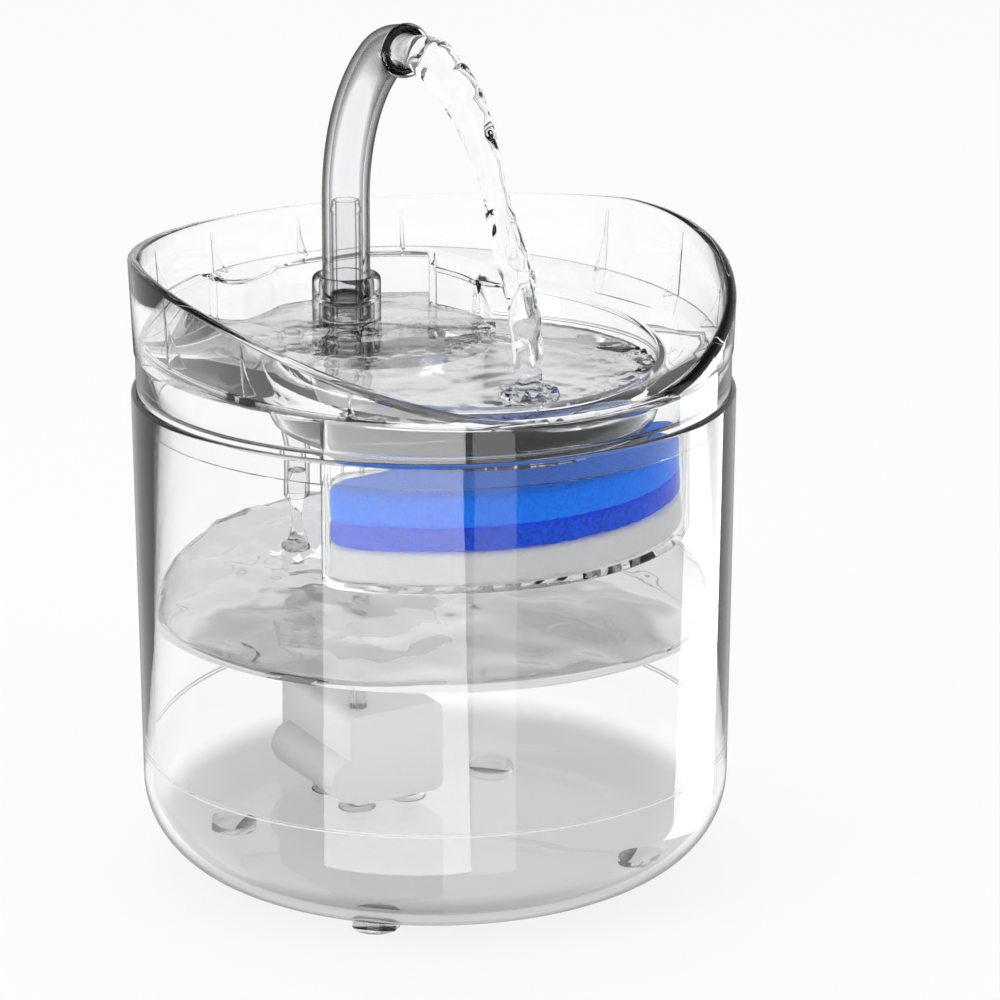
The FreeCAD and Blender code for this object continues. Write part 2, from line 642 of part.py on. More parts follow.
def make_spout():
    body = DOC.addObject("PartDesign::Body", "gooseneck")
    path = spine_sketch(body)
    edges = ["Edge1", "Edge2", "Edge3"]
    tube = body.newObject("PartDesign::AdditivePipe", "gooseneck_tube")
    tube.Profile = round_sketch(body, "gooseneck_outside", S.spout_radius)
    tube.Spine = (path, edges)
    bore = body.newObject("PartDesign::SubtractivePipe", "gooseneck_bore")
    bore.Profile = round_sketch(body, "gooseneck_inside", SPOUT_BORE)
    bore.Spine = (path, edges)
    put(body, (0, SPOUT_Y, SPOUT_BASE))
    bead = DOC.addObject("Part::Torus", "mouth_bead_ring")
    bind(bead, Radius1=S.spout_radius - S.mouth_bead / 2, Radius2=S.mouth_bead)
    put(bead, (0, MOUTH_Y, SPOUT_TOP), X_AXIS, 90.0)
    opening = along_y("mouth_opening", SPOUT_BORE, MOUTH_Y - 5, MOUTH_Y + 1, 0, SPOUT_TOP)
    mouth = cut("mouth_ring", bead, opening)
    node("spout", join("spout_whole", [body, mouth]))

    seal = DOC.addObject("Part::Torus", "seal_torus")
    bind(seal, Radius1=SEAL_RING, Radius2=S.seal_section)
    node("spout_seal", put(seal, (0, SPOUT_Y, SEAL_LEVEL)))


def make_riser():
    low, high = PUMP_TOP + S.outlet_height + S.seat_gap, RIM + S.riser_top
    outer, bore = S.riser_radius, RISER_BORE
    ring = high - 4
    riser = turned("riser", [
        (bore, low), (outer, low), (outer, ring), (outer + 0.4, ring + 0.5), (outer + 0.4, ring + 1.5),
        (outer, ring + 2), (outer, high), (bore, high)], (0, SPOUT_Y, 0))
    node("riser_pipe", riser)
    joint = low + S.sleeve_height * 0.45
    wide = outer + S.sleeve_wall
    on_nozzle, on_riser = S.outlet_radius + S.press_gap, outer + S.press_gap
    sleeve = turned("sleeve", [
        (on_nozzle, PUMP_TOP), (wide, PUMP_TOP), (wide, joint), (on_riser, joint), (on_riser, low),
        (on_nozzle, low)], (0, SPOUT_Y, 0))
    node("outlet_sleeve", sleeve)


# Filter basket and pads

def d_form(label, radius, back, corner, low, high):
    """A D-shaped prism: round front, flat back, rounded upright corners."""
    round_part = rod(label + "_round", radius, sized(high) - low, (0, 0, low))
    reach = S.tank_radius + 5
    keep = block(label + "_front", -reach, reach, -reach, -back, low - 1, sized(high) + 1)
    raw = common(label + "_raw", round_part, keep)
    DOC.recompute()
    fillet = DOC.addObject("Part::Fillet", label)
    fillet.Base = raw
    upright = []
    for i, edge in enumerate(raw.Shape.Edges, start=1):
        box = edge.BoundBox
        if isinstance(edge.Curve, Part.Line) and box.ZLength > 1 and box.XLength < 0.01:
            upright.append((i, sized(corner).value, sized(corner).value))
    fillet.Edges = upright
    return fillet


def make_basket():
    wall = S.basket_wall
    high = RIM + S.deck_rise + 5
    outside = d_form("basket_outside", BASKET_RADIUS, S.basket_back, S.basket_corner, BASKET_BASE, high)
    inside = d_form("basket_inside", BASKET_RADIUS - wall, S.basket_back + wall, S.basket_corner - wall,
                    BASKET_BASE + S.basket_floor, high + 1)
    tray_room = DOC.addObject("Part::Feature", "basket_tray_room")
    deck_side = over_deck(S.deck_plate.value + S.seat_gap.value)
    pool_side = pool_form(S.deck_plate.value + S.seat_gap.value * 3, POOL_FLOOR.value - S.deck_plate.value
                          - S.seat_gap.value)
    tray_room.Shape = deck_side.fuse(pool_side)
    vents = []
    count = int((BASKET_RADIUS.value - S.basket_corner.value) // S.basket_vent_pitch.value)
    for i in range(-count, count + 1):
        x = S.basket_vent_pitch * i
        reach = math.sqrt(max(BASKET_RADIUS.value ** 2 - x.value ** 2, 0)) - S.basket_back.value - 24
        if reach < 4:
            continue
        half = S.basket_vent / 2
        vents.append(block("vent_{}".format(i + count), x - half, x + half, -S.basket_back - 7 - reach,
                           -S.basket_back - 7, BASKET_BASE - 1, BASKET_BASE + S.basket_floor + 1))
    open_shell = cut("basket_hollow", cut("basket_fitted", outside, tray_room), inside)
    node("filter_basket", cut("basket_shell", open_shell, group("basket_vents", vents)))


def make_pads():
    low = BASKET_BASE + S.basket_floor + 0.05
    pads = (("filter_fleece", S.fleece_height), ("filter_foam_lower", S.foam_lower_height),
            ("filter_foam_upper", S.foam_upper_height))
    shrink = S.basket_wall + S.pad_gap
    for name, height in pads:
        pad = d_form(name + "_pad", BASKET_RADIUS - shrink, S.basket_back + shrink,
                     S.basket_corner - shrink, low, low + height)
        node(name, pad)
        low = low + height + 0.05


# Pump

def make_housing():
    half, top, low = S.pump_width / 2, PUMP_TOP, PUMP_BASE
    case = block("pump_case", -half, half, PUMP_FRONT, PUMP_BACK, low, top)
    DOC.recompute()
    soft = DOC.addObject("Part::Fillet", "pump_case_round")
    soft.Base = case
    soft.Edges = [(i, S.pump_round.value, S.pump_round.value)
                  for i, e in enumerate(case.Shape.Edges, start=1) if e.BoundBox.YLength > 1]
    lobe = along_y("pump_lobe", S.lobe_radius, PUMP_FRONT, PUMP_BACK, -half, low + S.lobe_radius + 1.5)
    nozzle = rod("pump_nozzle", S.outlet_radius, S.outlet_height + S.pump_wall,
                 (0, SPOUT_Y, top - S.pump_wall))
    outside = join("pump_outside", [soft, lobe, nozzle])
    motor_back = CHAMBER_FRONT - S.pump_wall
    motor = along_y("motor_room", S.stator_radius + S.motor_gap, PUMP_FRONT - 1, motor_back)
    gland_hole = rod("gland_hole", S.gland_radius * 0.65, top - PUMP_AXIS + 2,
                     (S.gland_x, GLAND_Y, PUMP_AXIS))
    hollow = cut("pump_hollow", outside, join("motor_tools", [motor, gland_hole]))
    can = along_y("rotor_can", S.can_bore + S.can_wall, CAN_FRONT - S.can_wall, CHAMBER_FRONT)
    solid = join("pump_with_can", [hollow, can])
    rooms = [
        along_y("can_room", S.can_bore, CAN_FRONT, CHAMBER_FRONT + 1),
        along_y("chamber_room", S.chamber_radius, CHAMBER_FRONT, PUMP_BACK + 1),
        rod("outlet_room", S.outlet_bore, S.pump_height + S.outlet_height, (0, SPOUT_Y, PUMP_AXIS)),
        along_y("gasket_room", S.chamber_radius + S.gasket_width + 0.1, PUMP_BACK - S.gasket_height,
                PUMP_BACK + 1),
    ]
    node("pump_housing", cut("pump_body", solid, join("pump_rooms", rooms)))


def make_pump_ends():
    half = S.pump_width / 2
    cap = block("cap_plate_block", -half, half, PUMP_FRONT - S.cap_plate, PUMP_FRONT, PUMP_BASE, PUMP_TOP)
    DOC.recompute()
    soft = DOC.addObject("Part::Fillet", "cap_round")
    soft.Base = cap
    soft.Edges = [(i, S.pump_round.value, S.pump_round.value)
                  for i, e in enumerate(cap.Shape.Edges, start=1) if e.BoundBox.YLength > 1]
    lobe = along_y("cap_lobe", S.lobe_radius, PUMP_FRONT - S.cap_plate, PUMP_FRONT, -half,
                   PUMP_BASE + S.lobe_radius + 1.5)
    node("pump_end_cap", join("end_cap", [soft, lobe]))

    far = PUMP_BACK + S.cover_plate
    plate = block("cover_block", -half, half, PUMP_BACK, far, PUMP_BASE, PUMP_TOP)
    DOC.recompute()
    round_plate = DOC.addObject("Part::Fillet", "cover_round")
    round_plate.Base = plate
    round_plate.Edges = [(i, S.pump_round.value, S.pump_round.value)
                         for i, e in enumerate(plate.Shape.Edges, start=1) if e.BoundBox.YLength > 1]
    tools = [along_y("cover_bush_room", S.bush_radius + S.press_gap, PUMP_BACK - 1,
                     PUMP_BACK + S.bush_length)]
    slot_count = 7
    gap = S.chamber_radius * 2 / slot_count
    for i in range(slot_count):
        x = gap * (i - (slot_count - 1) / 2)
        reach, near = S.chamber_radius - 1.5, S.bush_radius + 1.5
        for name, z0, z1 in (("low", PUMP_AXIS - reach, PUMP_AXIS - near),
                             ("high", PUMP_AXIS + near, PUMP_AXIS + reach)):
            tools.append(block("intake_{}_{}".format(name, i), x - gap / 4, x + gap / 4,
                               PUMP_BACK - 1, far + 1, z0, z1))
    node("intake_cover", cut("cover", round_plate, join("cover_tools", tools)))
    ring = turned("cover_gasket_ring", [
        (S.chamber_radius + 0.05, 0), (S.chamber_radius + S.gasket_width, 0),
        (S.chamber_radius + S.gasket_width, S.gasket_height), (S.chamber_radius + 0.05, S.gasket_height)],
        (0, PUMP_BACK - S.gasket_height, PUMP_AXIS), X_AXIS, -90.0)
    node("cover_gasket", ring)


def make_rotor():
    shaft = along_y("shaft", S.shaft_radius, CAN_FRONT, SHAFT_END)
    node("rotor_shaft", shaft)
    for name, start in (("shaft_bush_front", CAN_FRONT), ("shaft_bush_rear", PUMP_BACK)):
        bush = turned(name + "_ring", [
            (S.shaft_radius + S.press_gap, 0), (S.bush_radius, 0), (S.bush_radius, S.bush_length),
            (S.shaft_radius + S.press_gap, S.bush_length)], (0, start, PUMP_AXIS), X_AXIS, -90.0)
        node(name, bush)
    magnet = turned("magnet_ring", [
        (S.hub_radius, 0), (S.magnet_radius, 0), (S.magnet_radius, S.magnet_length),
        (S.hub_radius, S.magnet_length)], (0, ROTOR_FRONT, PUMP_AXIS), X_AXIS, -90.0)
    node("rotor_magnet", magnet)

    plate_at = CHAMBER_FRONT + S.impeller_float
    bore = S.shaft_radius + S.shaft_slip
    blades_at = plate_at + S.impeller_disc
    end = blades_at + S.impeller_length
    hub = along_y("rotor_sleeve", S.hub_radius, ROTOR_FRONT, end)
    disc_part = along_y("impeller_disc", S.impeller_radius, plate_at, blades_at)
    pieces = [hub, disc_part]
    count = int(round(S.vane_count.value))
    for i in range(count):
        vane = block("vane_{}".format(i), 0, S.impeller_radius - 0.2, -S.vane_wall / 2, S.vane_wall / 2, 0,
                     S.impeller_length + 0.2)
        turn = FreeCAD.Rotation(X_AXIS, -90.0).multiply(FreeCAD.Rotation(Z_AXIS, 360.0 * i / count))
        local = FreeCAD.Placement(V(0, -S.vane_wall.value / 2, 0), FreeCAD.Rotation())
        vane.setExpression("Placement.Base.x", None)
        vane.setExpression("Placement.Base.y", None)
        vane.setExpression("Placement.Base.z", None)
        spot = FreeCAD.Placement(V(0, blades_at.value - 0.2, PUMP_AXIS.value), turn)
        vane.Placement = spot.multiply(local)
        pieces.append(vane)
    node("impeller", cut("impeller_wheel", join("impeller_solid", pieces),
                         along_y("impeller_bore", bore, ROTOR_FRONT - 1, end + 1)))


def make_stator():
    start = CAN_FRONT + 1.5
    outer, inner = S.stator_radius, S.stator_radius - S.stator_back
    end = start + S.stator_length
    ring = cut("stator_ring", along_y("stator_outside", outer, start, end),
               along_y("stator_inside", inner, start - 1, end + 1))
    teeth, coils = [ring], []
    count = int(round(S.tooth_count.value))
    gap = S.coil_wall
    for i in range(count):
        turn = FreeCAD.Rotation(Y_AXIS, 45.0 + 360.0 * i / count)
        centre = V(0, start.value, PUMP_AXIS.value)

        def radial(label, width, near, far, low, high):
            item = DOC.addObject("Part::Box", label)
            bind(item, Length=width, Width=high - low, Height=far - near)
            offset = FreeCAD.Placement(V(-width.value / 2, low.value, near.value), FreeCAD.Rotation())
            item.Placement = FreeCAD.Placement(centre, turn).multiply(offset)
            return item

        zero = sized(0)
        teeth.append(radial("tooth_{}".format(i), S.tooth_width, STATOR_BORE, outer - 0.5, zero,
                            S.stator_length))
        winding = radial("winding_{}".format(i), S.tooth_width + gap * 2, STATOR_BORE + 0.2, inner - 0.6,
                         zero - gap, S.stator_length + gap)
        hole = radial("winding_hole_{}".format(i), S.tooth_width + 0.1, STATOR_BORE - 1, inner + 1,
                      zero - 0.05, S.stator_length + 0.05)
        coils.append(cut("coil_{}".format(i), winding, hole))
    node("stator_core", join("stator_stack", teeth))
    node("stator_coils", group("coils", coils))


def make_board_and_gland():
    front = PUMP_FRONT + S.board_lift
    board = along_y("board_disc", S.stator_radius - 1, front, front + S.board_wall)
    chip = block("board_chip", -3, 3, front + S.board_wall - 0.1, front + S.board_wall + 1.2,
                 PUMP_AXIS - 8, PUMP_AXIS - 3)
    stand = block("board_stand", -2, 2, PUMP_FRONT, front + 0.1, PUMP_AXIS - 2, PUMP_AXIS + 2)
    node("driver_board", join("board", [board, chip, stand]))
    narrow = S.gland_radius * 0.65 - S.press_gap
    gland = turned("gland", [
        (S.gland_radius * 0.4, -S.pump_wall), (narrow, -S.pump_wall), (narrow, 0), (S.gland_radius, 0),
        (S.gland_radius * 0.7, S.gland_height), (S.gland_radius * 0.4, S.gland_height)],
        (S.gland_x, GLAND_Y, PUMP_TOP))
    node("cable_gland", gland)


def make_cups():
    lip, tall = S.cup_radius, S.cup_height
    cups = []
    front, back = PUMP_FRONT + S.cup_front_inset, PUMP_BACK - S.cup_back_inset
    for i, (side, y) in enumerate(((1, front), (-1, front), (1, back), (-1, back))):
        cups.append(turned("cup_{}".format(i), [
            (0, tall * 0.35), (lip * 0.6, tall * 0.2), (lip - S.cup_edge, 0), (lip, 0),
            (lip * 0.7, tall * 0.6), (lip * 0.35, tall * 0.75), (lip * 0.35, tall), (0, tall)],
            (S.cup_x * side, y, FLOOR_TOP)))
    node("suction_cups", group("cups", cups))


def check_and_export():
    DOC.recompute()
    for item in DOC.Objects:
        faults = [state for state in item.State if state in ("Invalid", "Error")]
        if faults:
            raise RuntimeError("{} is {}".format(item.Label, faults))
    os.makedirs("parts", exist_ok=True)
    for name, item in NODES.items():
        shape = item.Shape
        if shape.isNull() or not shape.isValid() or not shape.Solids:
            raise RuntimeError("{} has no valid solid".format(name))
    for name, item in NODES.items():
        item.Shape.exportStep(os.path.join("parts", name + ".step"))
        box = item.Shape.BoundBox
        print("{:20s} solids {} volume {:9.1f} box {:.1f} {:.1f} {:.1f} to {:.1f} {:.1f} {:.1f}".format(
            name, len(item.Shape.Solids), item.Shape.Volume, box.XMin, box.YMin, box.ZMin,
            box.XMax, box.YMax, box.ZMax))


def main():
    tank = make_tank()
    make_feet(tank)
    make_tray()
    make_spout()
    make_riser()
    make_basket()
    make_pads()
    make_housing()
    make_pump_ends()
    make_rotor()
    make_stator()
    make_board_and_gland()
    make_cups()
    check_and_export()


main()
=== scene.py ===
"""A clear pet water fountain: tank, drinking tray, gooseneck spout, filter basket, pump and water."""
import math

import bmesh
import bpy
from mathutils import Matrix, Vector, noise

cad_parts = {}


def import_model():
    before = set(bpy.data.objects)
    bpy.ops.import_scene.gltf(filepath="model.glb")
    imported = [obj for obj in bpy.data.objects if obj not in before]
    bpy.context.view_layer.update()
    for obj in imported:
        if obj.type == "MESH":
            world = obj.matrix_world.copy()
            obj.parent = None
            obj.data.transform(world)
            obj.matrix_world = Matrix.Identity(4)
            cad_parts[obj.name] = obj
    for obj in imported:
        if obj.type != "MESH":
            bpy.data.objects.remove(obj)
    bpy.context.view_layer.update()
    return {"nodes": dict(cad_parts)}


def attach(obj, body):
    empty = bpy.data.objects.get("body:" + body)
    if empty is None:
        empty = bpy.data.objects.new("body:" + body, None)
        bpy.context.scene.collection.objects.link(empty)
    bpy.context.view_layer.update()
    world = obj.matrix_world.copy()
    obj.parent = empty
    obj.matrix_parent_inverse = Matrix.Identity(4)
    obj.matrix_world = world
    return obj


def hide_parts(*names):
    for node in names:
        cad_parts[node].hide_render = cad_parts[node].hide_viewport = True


MM = 0.001

# Sizes of the fountain in millimetres, the same as the solids have
TANK_RIM = 151.5
TANK_FLOOR = 5.0
DECK_LEVEL, DECK_SLOPE = 168.8, math.tan(math.radians(3.97))
DECK_PLATE = 2.2
LEDGE = 86.5
POOL_FLOOR, POOL_LIP = 146.5, 171.8
POOL_Y, POOL_RADIUS, POOL_LEAN = -19.0, 56.0, 6.0  # at the floor; the wall leans out and back by the last
ISLAND_Y, ISLAND_RADIUS, ISLAND_TOP = 38.0, 36.0, 158.0
SPOUT_Y, SPOUT_FOOT, SPOUT_STEM = 56.0, 158.3, 38.5
SPOUT_RADIUS, SPOUT_BORE = 7.5, 5.3
MOUTH_Y, MOUTH_LEVEL = 17.97, 251.35
LANDING_Y, LANDING_LEVEL = -57.4, 160.0
DUCT_X, DUCT_Y = -23.0, 50.0
BAY_WALL, BAY_STEP, BAY_LEFT, BAY_FRONT = 80.0, 28.0, -25.0, -70.0
BASKET_RADIUS, BASKET_BACK, BASKET_CORNER, BASKET_BASE = 80.5, -37.0, 10.0, 109.0
TANK_WATER, POOL_WATER = 85.0, 160.6
WATER_GAP = 0.15  # how far the tray's water stands off the plastic


# Building helpers

def deselect():
    bpy.ops.object.select_all(action="DESELECT")


def choose(piece):
    deselect()
    piece.select_set(True)
    bpy.context.view_layer.objects.active = piece
    return piece


def started(name):
    """Name the primitive that was just added."""
    piece = bpy.context.object
    piece.name = name
    piece.data.name = name
    return piece


def edit():
    bpy.ops.object.mode_set(mode="EDIT")


def leave():
    bpy.ops.object.mode_set(mode="OBJECT")


def select_all():
    bpy.ops.mesh.select_all(action="SELECT")


def extrude(step):
    """Extrude what is selected, by a step in metres."""
    bpy.ops.mesh.extrude_region_move(TRANSFORM_OT_translate={"value": step})


def merge(gap=1e-6):
    """Merge the points that share a place; everything is selected before and after."""
    select_all()
    bpy.ops.mesh.remove_doubles(threshold=gap)
    select_all()


def face_out():
    """Turn all faces outward and leave edit mode."""
    select_all()
    bpy.ops.mesh.normals_make_consistent(inside=False)
    leave()


def picked(piece, test, faces=False):
    """Select the points, and the edges between them, or the faces that pass a test; edit mode follows."""
    choose(piece)
    edit()
    bpy.ops.mesh.select_mode(type="FACE" if faces else "VERT")
    bpy.ops.mesh.select_all(action="DESELECT")
    leave()
    data = piece.data
    if faces:
        for face in data.polygons:
            face.select = test(face.center / MM, face.normal)
    else:
        for point in data.vertices:
            point.select = test(point.co / MM)
        for side in data.edges:
            side.select = all(data.vertices[i].select for i in side.vertices)
    edit()


def placed(piece):
    choose(piece)
    bpy.ops.object.transform_apply(location=True, rotation=True, scale=True)
    return piece


def smooth(piece, angle=35):
    choose(piece)
    bpy.ops.object.shade_smooth_by_angle(angle=math.radians(angle))
    return piece


def shaped(piece, kind, **settings):
    """Add a modifier, set it and apply it."""
    choose(piece)
    modifier = piece.modifiers.new(kind.title(), kind)
    for key, value in settings.items():
        setattr(modifier, key, value)
    bpy.ops.object.modifier_apply(modifier=modifier.name)
    return piece


def carved(piece, tool, operation="DIFFERENCE"):
    shaped(piece, "BOOLEAN", object=tool, operation=operation, solver="EXACT")
    bpy.data.objects.remove(tool)
    return piece


def joined(name, pieces):
    deselect()
    for piece in pieces:
        piece.select_set(True)
    bpy.context.view_layer.objects.active = pieces[0]
    bpy.ops.object.join()
    return started(name)


def line_of(name, spots):
    """A wire drawn point after point, from a plane merged to one corner; it stays in edit mode."""
    deselect()
    bpy.ops.mesh.primitive_plane_add(size=MM)
    piece = started(name)
    edit()
    bpy.ops.mesh.merge(type="CENTER")
    bpy.ops.transform.translate(value=spots[0])
    for here, there in zip(spots, spots[1:]):
        extrude(there - here)
    merge()
    return piece


def turned(name, section, steps=128, centre=(0.0, 0.0)):
    """A closed half section of (radius, level) pairs, spun round an upright axis."""
    spots = [Vector((centre[0] + radius, centre[1], level)) * MM for radius, level in section]
    piece = line_of(name, spots + spots[:1])
    bpy.ops.mesh.spin(steps=steps, angle=2 * math.pi, center=(centre[0] * MM, centre[1] * MM, 0),
                      axis=(0, 0, 1))
    merge()
    bpy.ops.mesh.delete_loose()
    face_out()
    return piece


def rod(name, radius, low, high, steps, centre=(0.0, 0.0)):
    """A plain upright cylinder."""
    return turned(name, [(0, low), (radius, low), (radius, high), (0, high)], steps, centre)


def plate(name, outline, rise):
    """A flat outline filled and drawn out by a vector, all in millimetres."""
    spots = [Vector(spot) * MM for spot in outline]
    piece = line_of(name, spots + spots[:1])
    bpy.ops.mesh.edge_face_add()
    extrude(Vector(rise) * MM)
    face_out()
    return piece


def arc(centre, radius, start, end, count):
    """Points of an arc; angles in degrees, both ends included."""
    turns = [math.radians(start + (end - start) * i / count) for i in range(count + 1)]
    return [(centre[0] + radius * math.cos(t), centre[1] + radius * math.sin(t)) for t in turns]


def arc_through(start, middle, end, count):
    """Points of the arc through three points, both ends included."""
    ax, ay = start
    bx, by = middle
    cx, cy = end
    d = 2 * (ax * (by - cy) + bx * (cy - ay) + cx * (ay - by))
    a2, b2, c2 = ax * ax + ay * ay, bx * bx + by * by, cx * cx + cy * cy
    ux = (a2 * (by - cy) + b2 * (cy - ay) + c2 * (ay - by)) / d
    uy = (a2 * (cx - bx) + b2 * (ax - cx) + c2 * (bx - ax)) / d
    radius = math.hypot(ax - ux, ay - uy)
    first, via, last = (math.atan2(y - uy, x - ux) for x, y in (start, middle, end))
    span = (last - first) % (2 * math.pi)
    if (via - first) % (2 * math.pi) > span:
        span -= 2 * math.pi
    turns = [first + span * i / count for i in range(count + 1)]
    return [(ux + radius * math.cos(t), uy + radius * math.sin(t)) for t in turns]


def moved(piece, change):
    """Move every point of a piece; the change takes and gives millimetres."""
    for vertex in piece.data.vertices:
        vertex.co = Vector(change(*(vertex.co / MM))) * MM
    piece.data.update()
    return piece


def unrest(x, y, z):
    """Smooth noise between -1 and 1."""
    return noise.noise(Vector((x, y, z)))


# Forms of the tray that several pieces share

def deck(y):
    return DECK_LEVEL + DECK_SLOPE * y


RIM_ARC = arc_through((-92.0, 159.0), (-54.4, 178.3), (28.0, 194.1), 60)


def rim(y):
    """Level of the scooped rim: an arc over the front, then a straight fall to the back."""
    if y >= 28.0:
        return 194.1 - (y - 28.0) * 5.1 / 65.0
    for (y0, z0), (y1, z1) in zip(RIM_ARC, RIM_ARC[1:]):
        if y <= y1:
            return z0 + (z1 - z0) * (y - y0) / (y1 - y0)
    return RIM_ARC[-1][1]


def outer_radius(level):
    if level < 163.5:
        return 90.5
    return min(91.0, 90.5 + level - 163.5) + max(0.0, level - 164.0) * 1.4 / 34.1


def inner_radius(level):
    return LEDGE + (level - 157.0) * 2.9 / 41.1


def pool_ring(level):
    """Centre and radius of the pool's wall at a level: an oblique cone."""
    share = min(1.0, max(0.0, (level - POOL_FLOOR) / (POOL_LIP - POOL_FLOOR)))
    return POOL_Y + POOL_LEAN * share, POOL_RADIUS + POOL_LEAN * share


def pool_spot(turn, level):
    centre, radius = pool_ring(level)
    return radius * math.cos(turn), centre + radius * math.sin(turn)


def lip_spot(turn):
    """Where the pool's wall meets the sloping deck."""
    level = DECK_LEVEL
    for _ in range(6):
        x, y = pool_spot(turn, level)
        level = deck(y)
    return x, y, level


def island_meet(level):
    """Where the island's side meets the pool's wall, on the right."""
    centre, radius = pool_ring(level)
    gap = ISLAND_Y - centre
    along = (radius ** 2 - ISLAND_RADIUS ** 2 + gap ** 2) / (2 * gap)
    return math.sqrt(radius ** 2 - along ** 2), centre + along


def back_point(radius, angle):
    turn = math.radians(angle)
    return radius * math.sin(turn), radius * math.cos(turn)


def bay_back():
    """Plan of the bay's back edge from the right step to the left sweep."""
    step_out = back_point(BAY_WALL, BAY_STEP)
    wave_top = back_point(79.0, BAY_LEFT * 0.35)
    wave_low = back_point(74.0, BAY_LEFT * 0.93)
    wave_end = back_point(LEDGE, BAY_LEFT)
    spots = arc_through(step_out, back_point(BAY_WALL, 0), wave_top, 16)[:-1]
    spots += arc_through(wave_top, back_point(75.5, BAY_LEFT * 0.62), wave_low, 8)[:-1]
    return spots + arc_through(wave_low, back_point(BAY_WALL, BAY_LEFT * 1.07), wave_end, 8)


SIDE_FRONT = back_point(LEDGE, BAY_FRONT)
SIDE_END_HIGH, SIDE_END_LOW = (-60.0, 2.6), (-56.8, -1.44)
STEP_FOOT = (30.4, 57.2)


def water_outline(level):
    """Plan of everything the tray holds water in, at a level above the island."""
    ledge = [back_point(LEDGE, BAY_LEFT + (BAY_FRONT - BAY_LEFT) * i / 16) for i in range(1, 17)]
    centre, radius = pool_ring(level)
    first = math.atan2(SIDE_END_LOW[1] - centre, SIDE_END_LOW[0])
    right = island_meet(level)
    last = math.atan2(right[1] - centre, right[0])
    pool = [pool_spot(first + (last + 2 * math.pi - first) * i / 72, level) for i in range(73)]
    side = arc((0, ISLAND_Y), ISLAND_RADIUS, math.degrees(math.atan2(right[1] - ISLAND_Y, right[0])),
               math.degrees(math.atan2(STEP_FOOT[1] - ISLAND_Y, STEP_FOOT[0])), 10)[1:]
    return bay_back() + ledge + pool + side


# Shader helpers

class Wire:
    """A value in a material; arithmetic on it adds Math nodes."""

    def __init__(self, finish, socket):
        self.finish = finish
        self.socket = socket

    def maths(self, operation, first, second, clamp=False):
        item = self.finish.add("ShaderNodeMath", {"operation": operation, "use_clamp": clamp},
                               {0: first, 1: second})
        return Wire(self.finish, item.outputs[0])

    def __add__(self, other):
        return self.maths("ADD", self, other)

    def __radd__(self, other):
        return self.maths("ADD", other, self)

    def __sub__(self, other):
        return self.maths("SUBTRACT", self, other)

    def __rsub__(self, other):
        return self.maths("SUBTRACT", other, self)

    def __mul__(self, other):
        return self.maths("MULTIPLY", self, other)

    def __rmul__(self, other):
        return self.maths("MULTIPLY", other, self)

    def __truediv__(self, other):
        return self.maths("DIVIDE", self, other)

    def __pow__(self, other):
        return self.maths("POWER", self, other)

    def clamped(self):
        return self.maths("ADD", self, 0.0, True)


class Finish:
    """A material under construction."""

    def __init__(self, name, world=False):
        self.material = bpy.data.worlds.new(name) if world else bpy.data.materials.new(name)
        self.material.use_nodes = True
        self.tree = self.material.node_tree
        self.tree.nodes.clear()

    def add(self, kind, settings, values):
        """A node of a kind: its settings first, then the values or links of its sockets."""
        item = self.tree.nodes.new(kind)
        for key, value in settings.items():
            if key == "stops":
                ramp = item.color_ramp
                while len(ramp.elements) < len(value):
                    ramp.elements.new(1.0)
                for element, (position, shade) in zip(ramp.elements, value):
                    element.position = position
                    element.color = (shade, shade, shade, 1) if isinstance(shade, float) else (*shade, 1)
            else:
                setattr(item, key, value)
        for key, value in values.items():
            if isinstance(value, Wire):
                self.tree.links.new(value.socket, item.inputs[key])
            else:
                item.inputs[key].default_value = value
        return item

    def wire(self, kind, output, settings=None, values=None):
        return Wire(self, self.add(kind, settings or {}, values or {}).outputs[output])

    def place(self):
        return self.wire("ShaderNodeTexCoord", "Object")

    def height(self):
        return self.wire("ShaderNodeSeparateXYZ", "Z", {}, {"Vector": self.place()}) / MM

    def noise(self, scale, detail=2.0, **others):
        return self.wire("ShaderNodeTexNoise", "Fac", {}, {
            "Vector": self.place(), "Scale": scale, "Detail": detail, **others})

    def bump(self, height, strength, distance):
        return self.wire("ShaderNodeBump", 0, {}, {
            "Height": height, "Strength": strength, "Distance": distance})

    def blend(self, factor, first, second):
        return self.wire("ShaderNodeMix", 2, {"data_type": "RGBA"}, {0: factor, 6: first, 7: second})

    def principled(self, values):
        return self.wire("ShaderNodeBsdfPrincipled", 0, {}, values)

    def mixed(self, factor, first, second):
        return self.wire("ShaderNodeMixShader", 0, {}, {0: factor, 1: first, 2: second})

    def ended(self, shader):
        in_world = isinstance(self.material, bpy.types.World)
        self.add("ShaderNodeOutputWorld" if in_world else "ShaderNodeOutputMaterial", {}, {"Surface": shader})
        return self.material

    def ended_with_painted_edges(self, edge, shader):
        """End the finish with painted shade: a shader that turns to a matt, very dark grey by the edge mask,
        standing in for the dark lines of refraction.
        """
        painted_edge_dark = self.principled({"Base Color": grey(0.012), "Roughness": 0.35, "Specular IOR Level": 0.0})
        return self.ended(self.mixed(edge, shader, painted_edge_dark))

    def painted_edge_mask(self, start, power, strength):
        """How nearly a surface is seen edge on, from none to the strength: the mask of the painted edge
        shade.
        """
        facing = self.wire("ShaderNodeLayerWeight", "Facing", {}, {"Blend": 0.5})
        return (((facing - start) / (1.0 - start)).clamped() ** power) * strength


def grey(value):
    return (value, value, value, 1.0)


CLEAR_TINT = (0.985, 0.987, 0.99, 1.0)


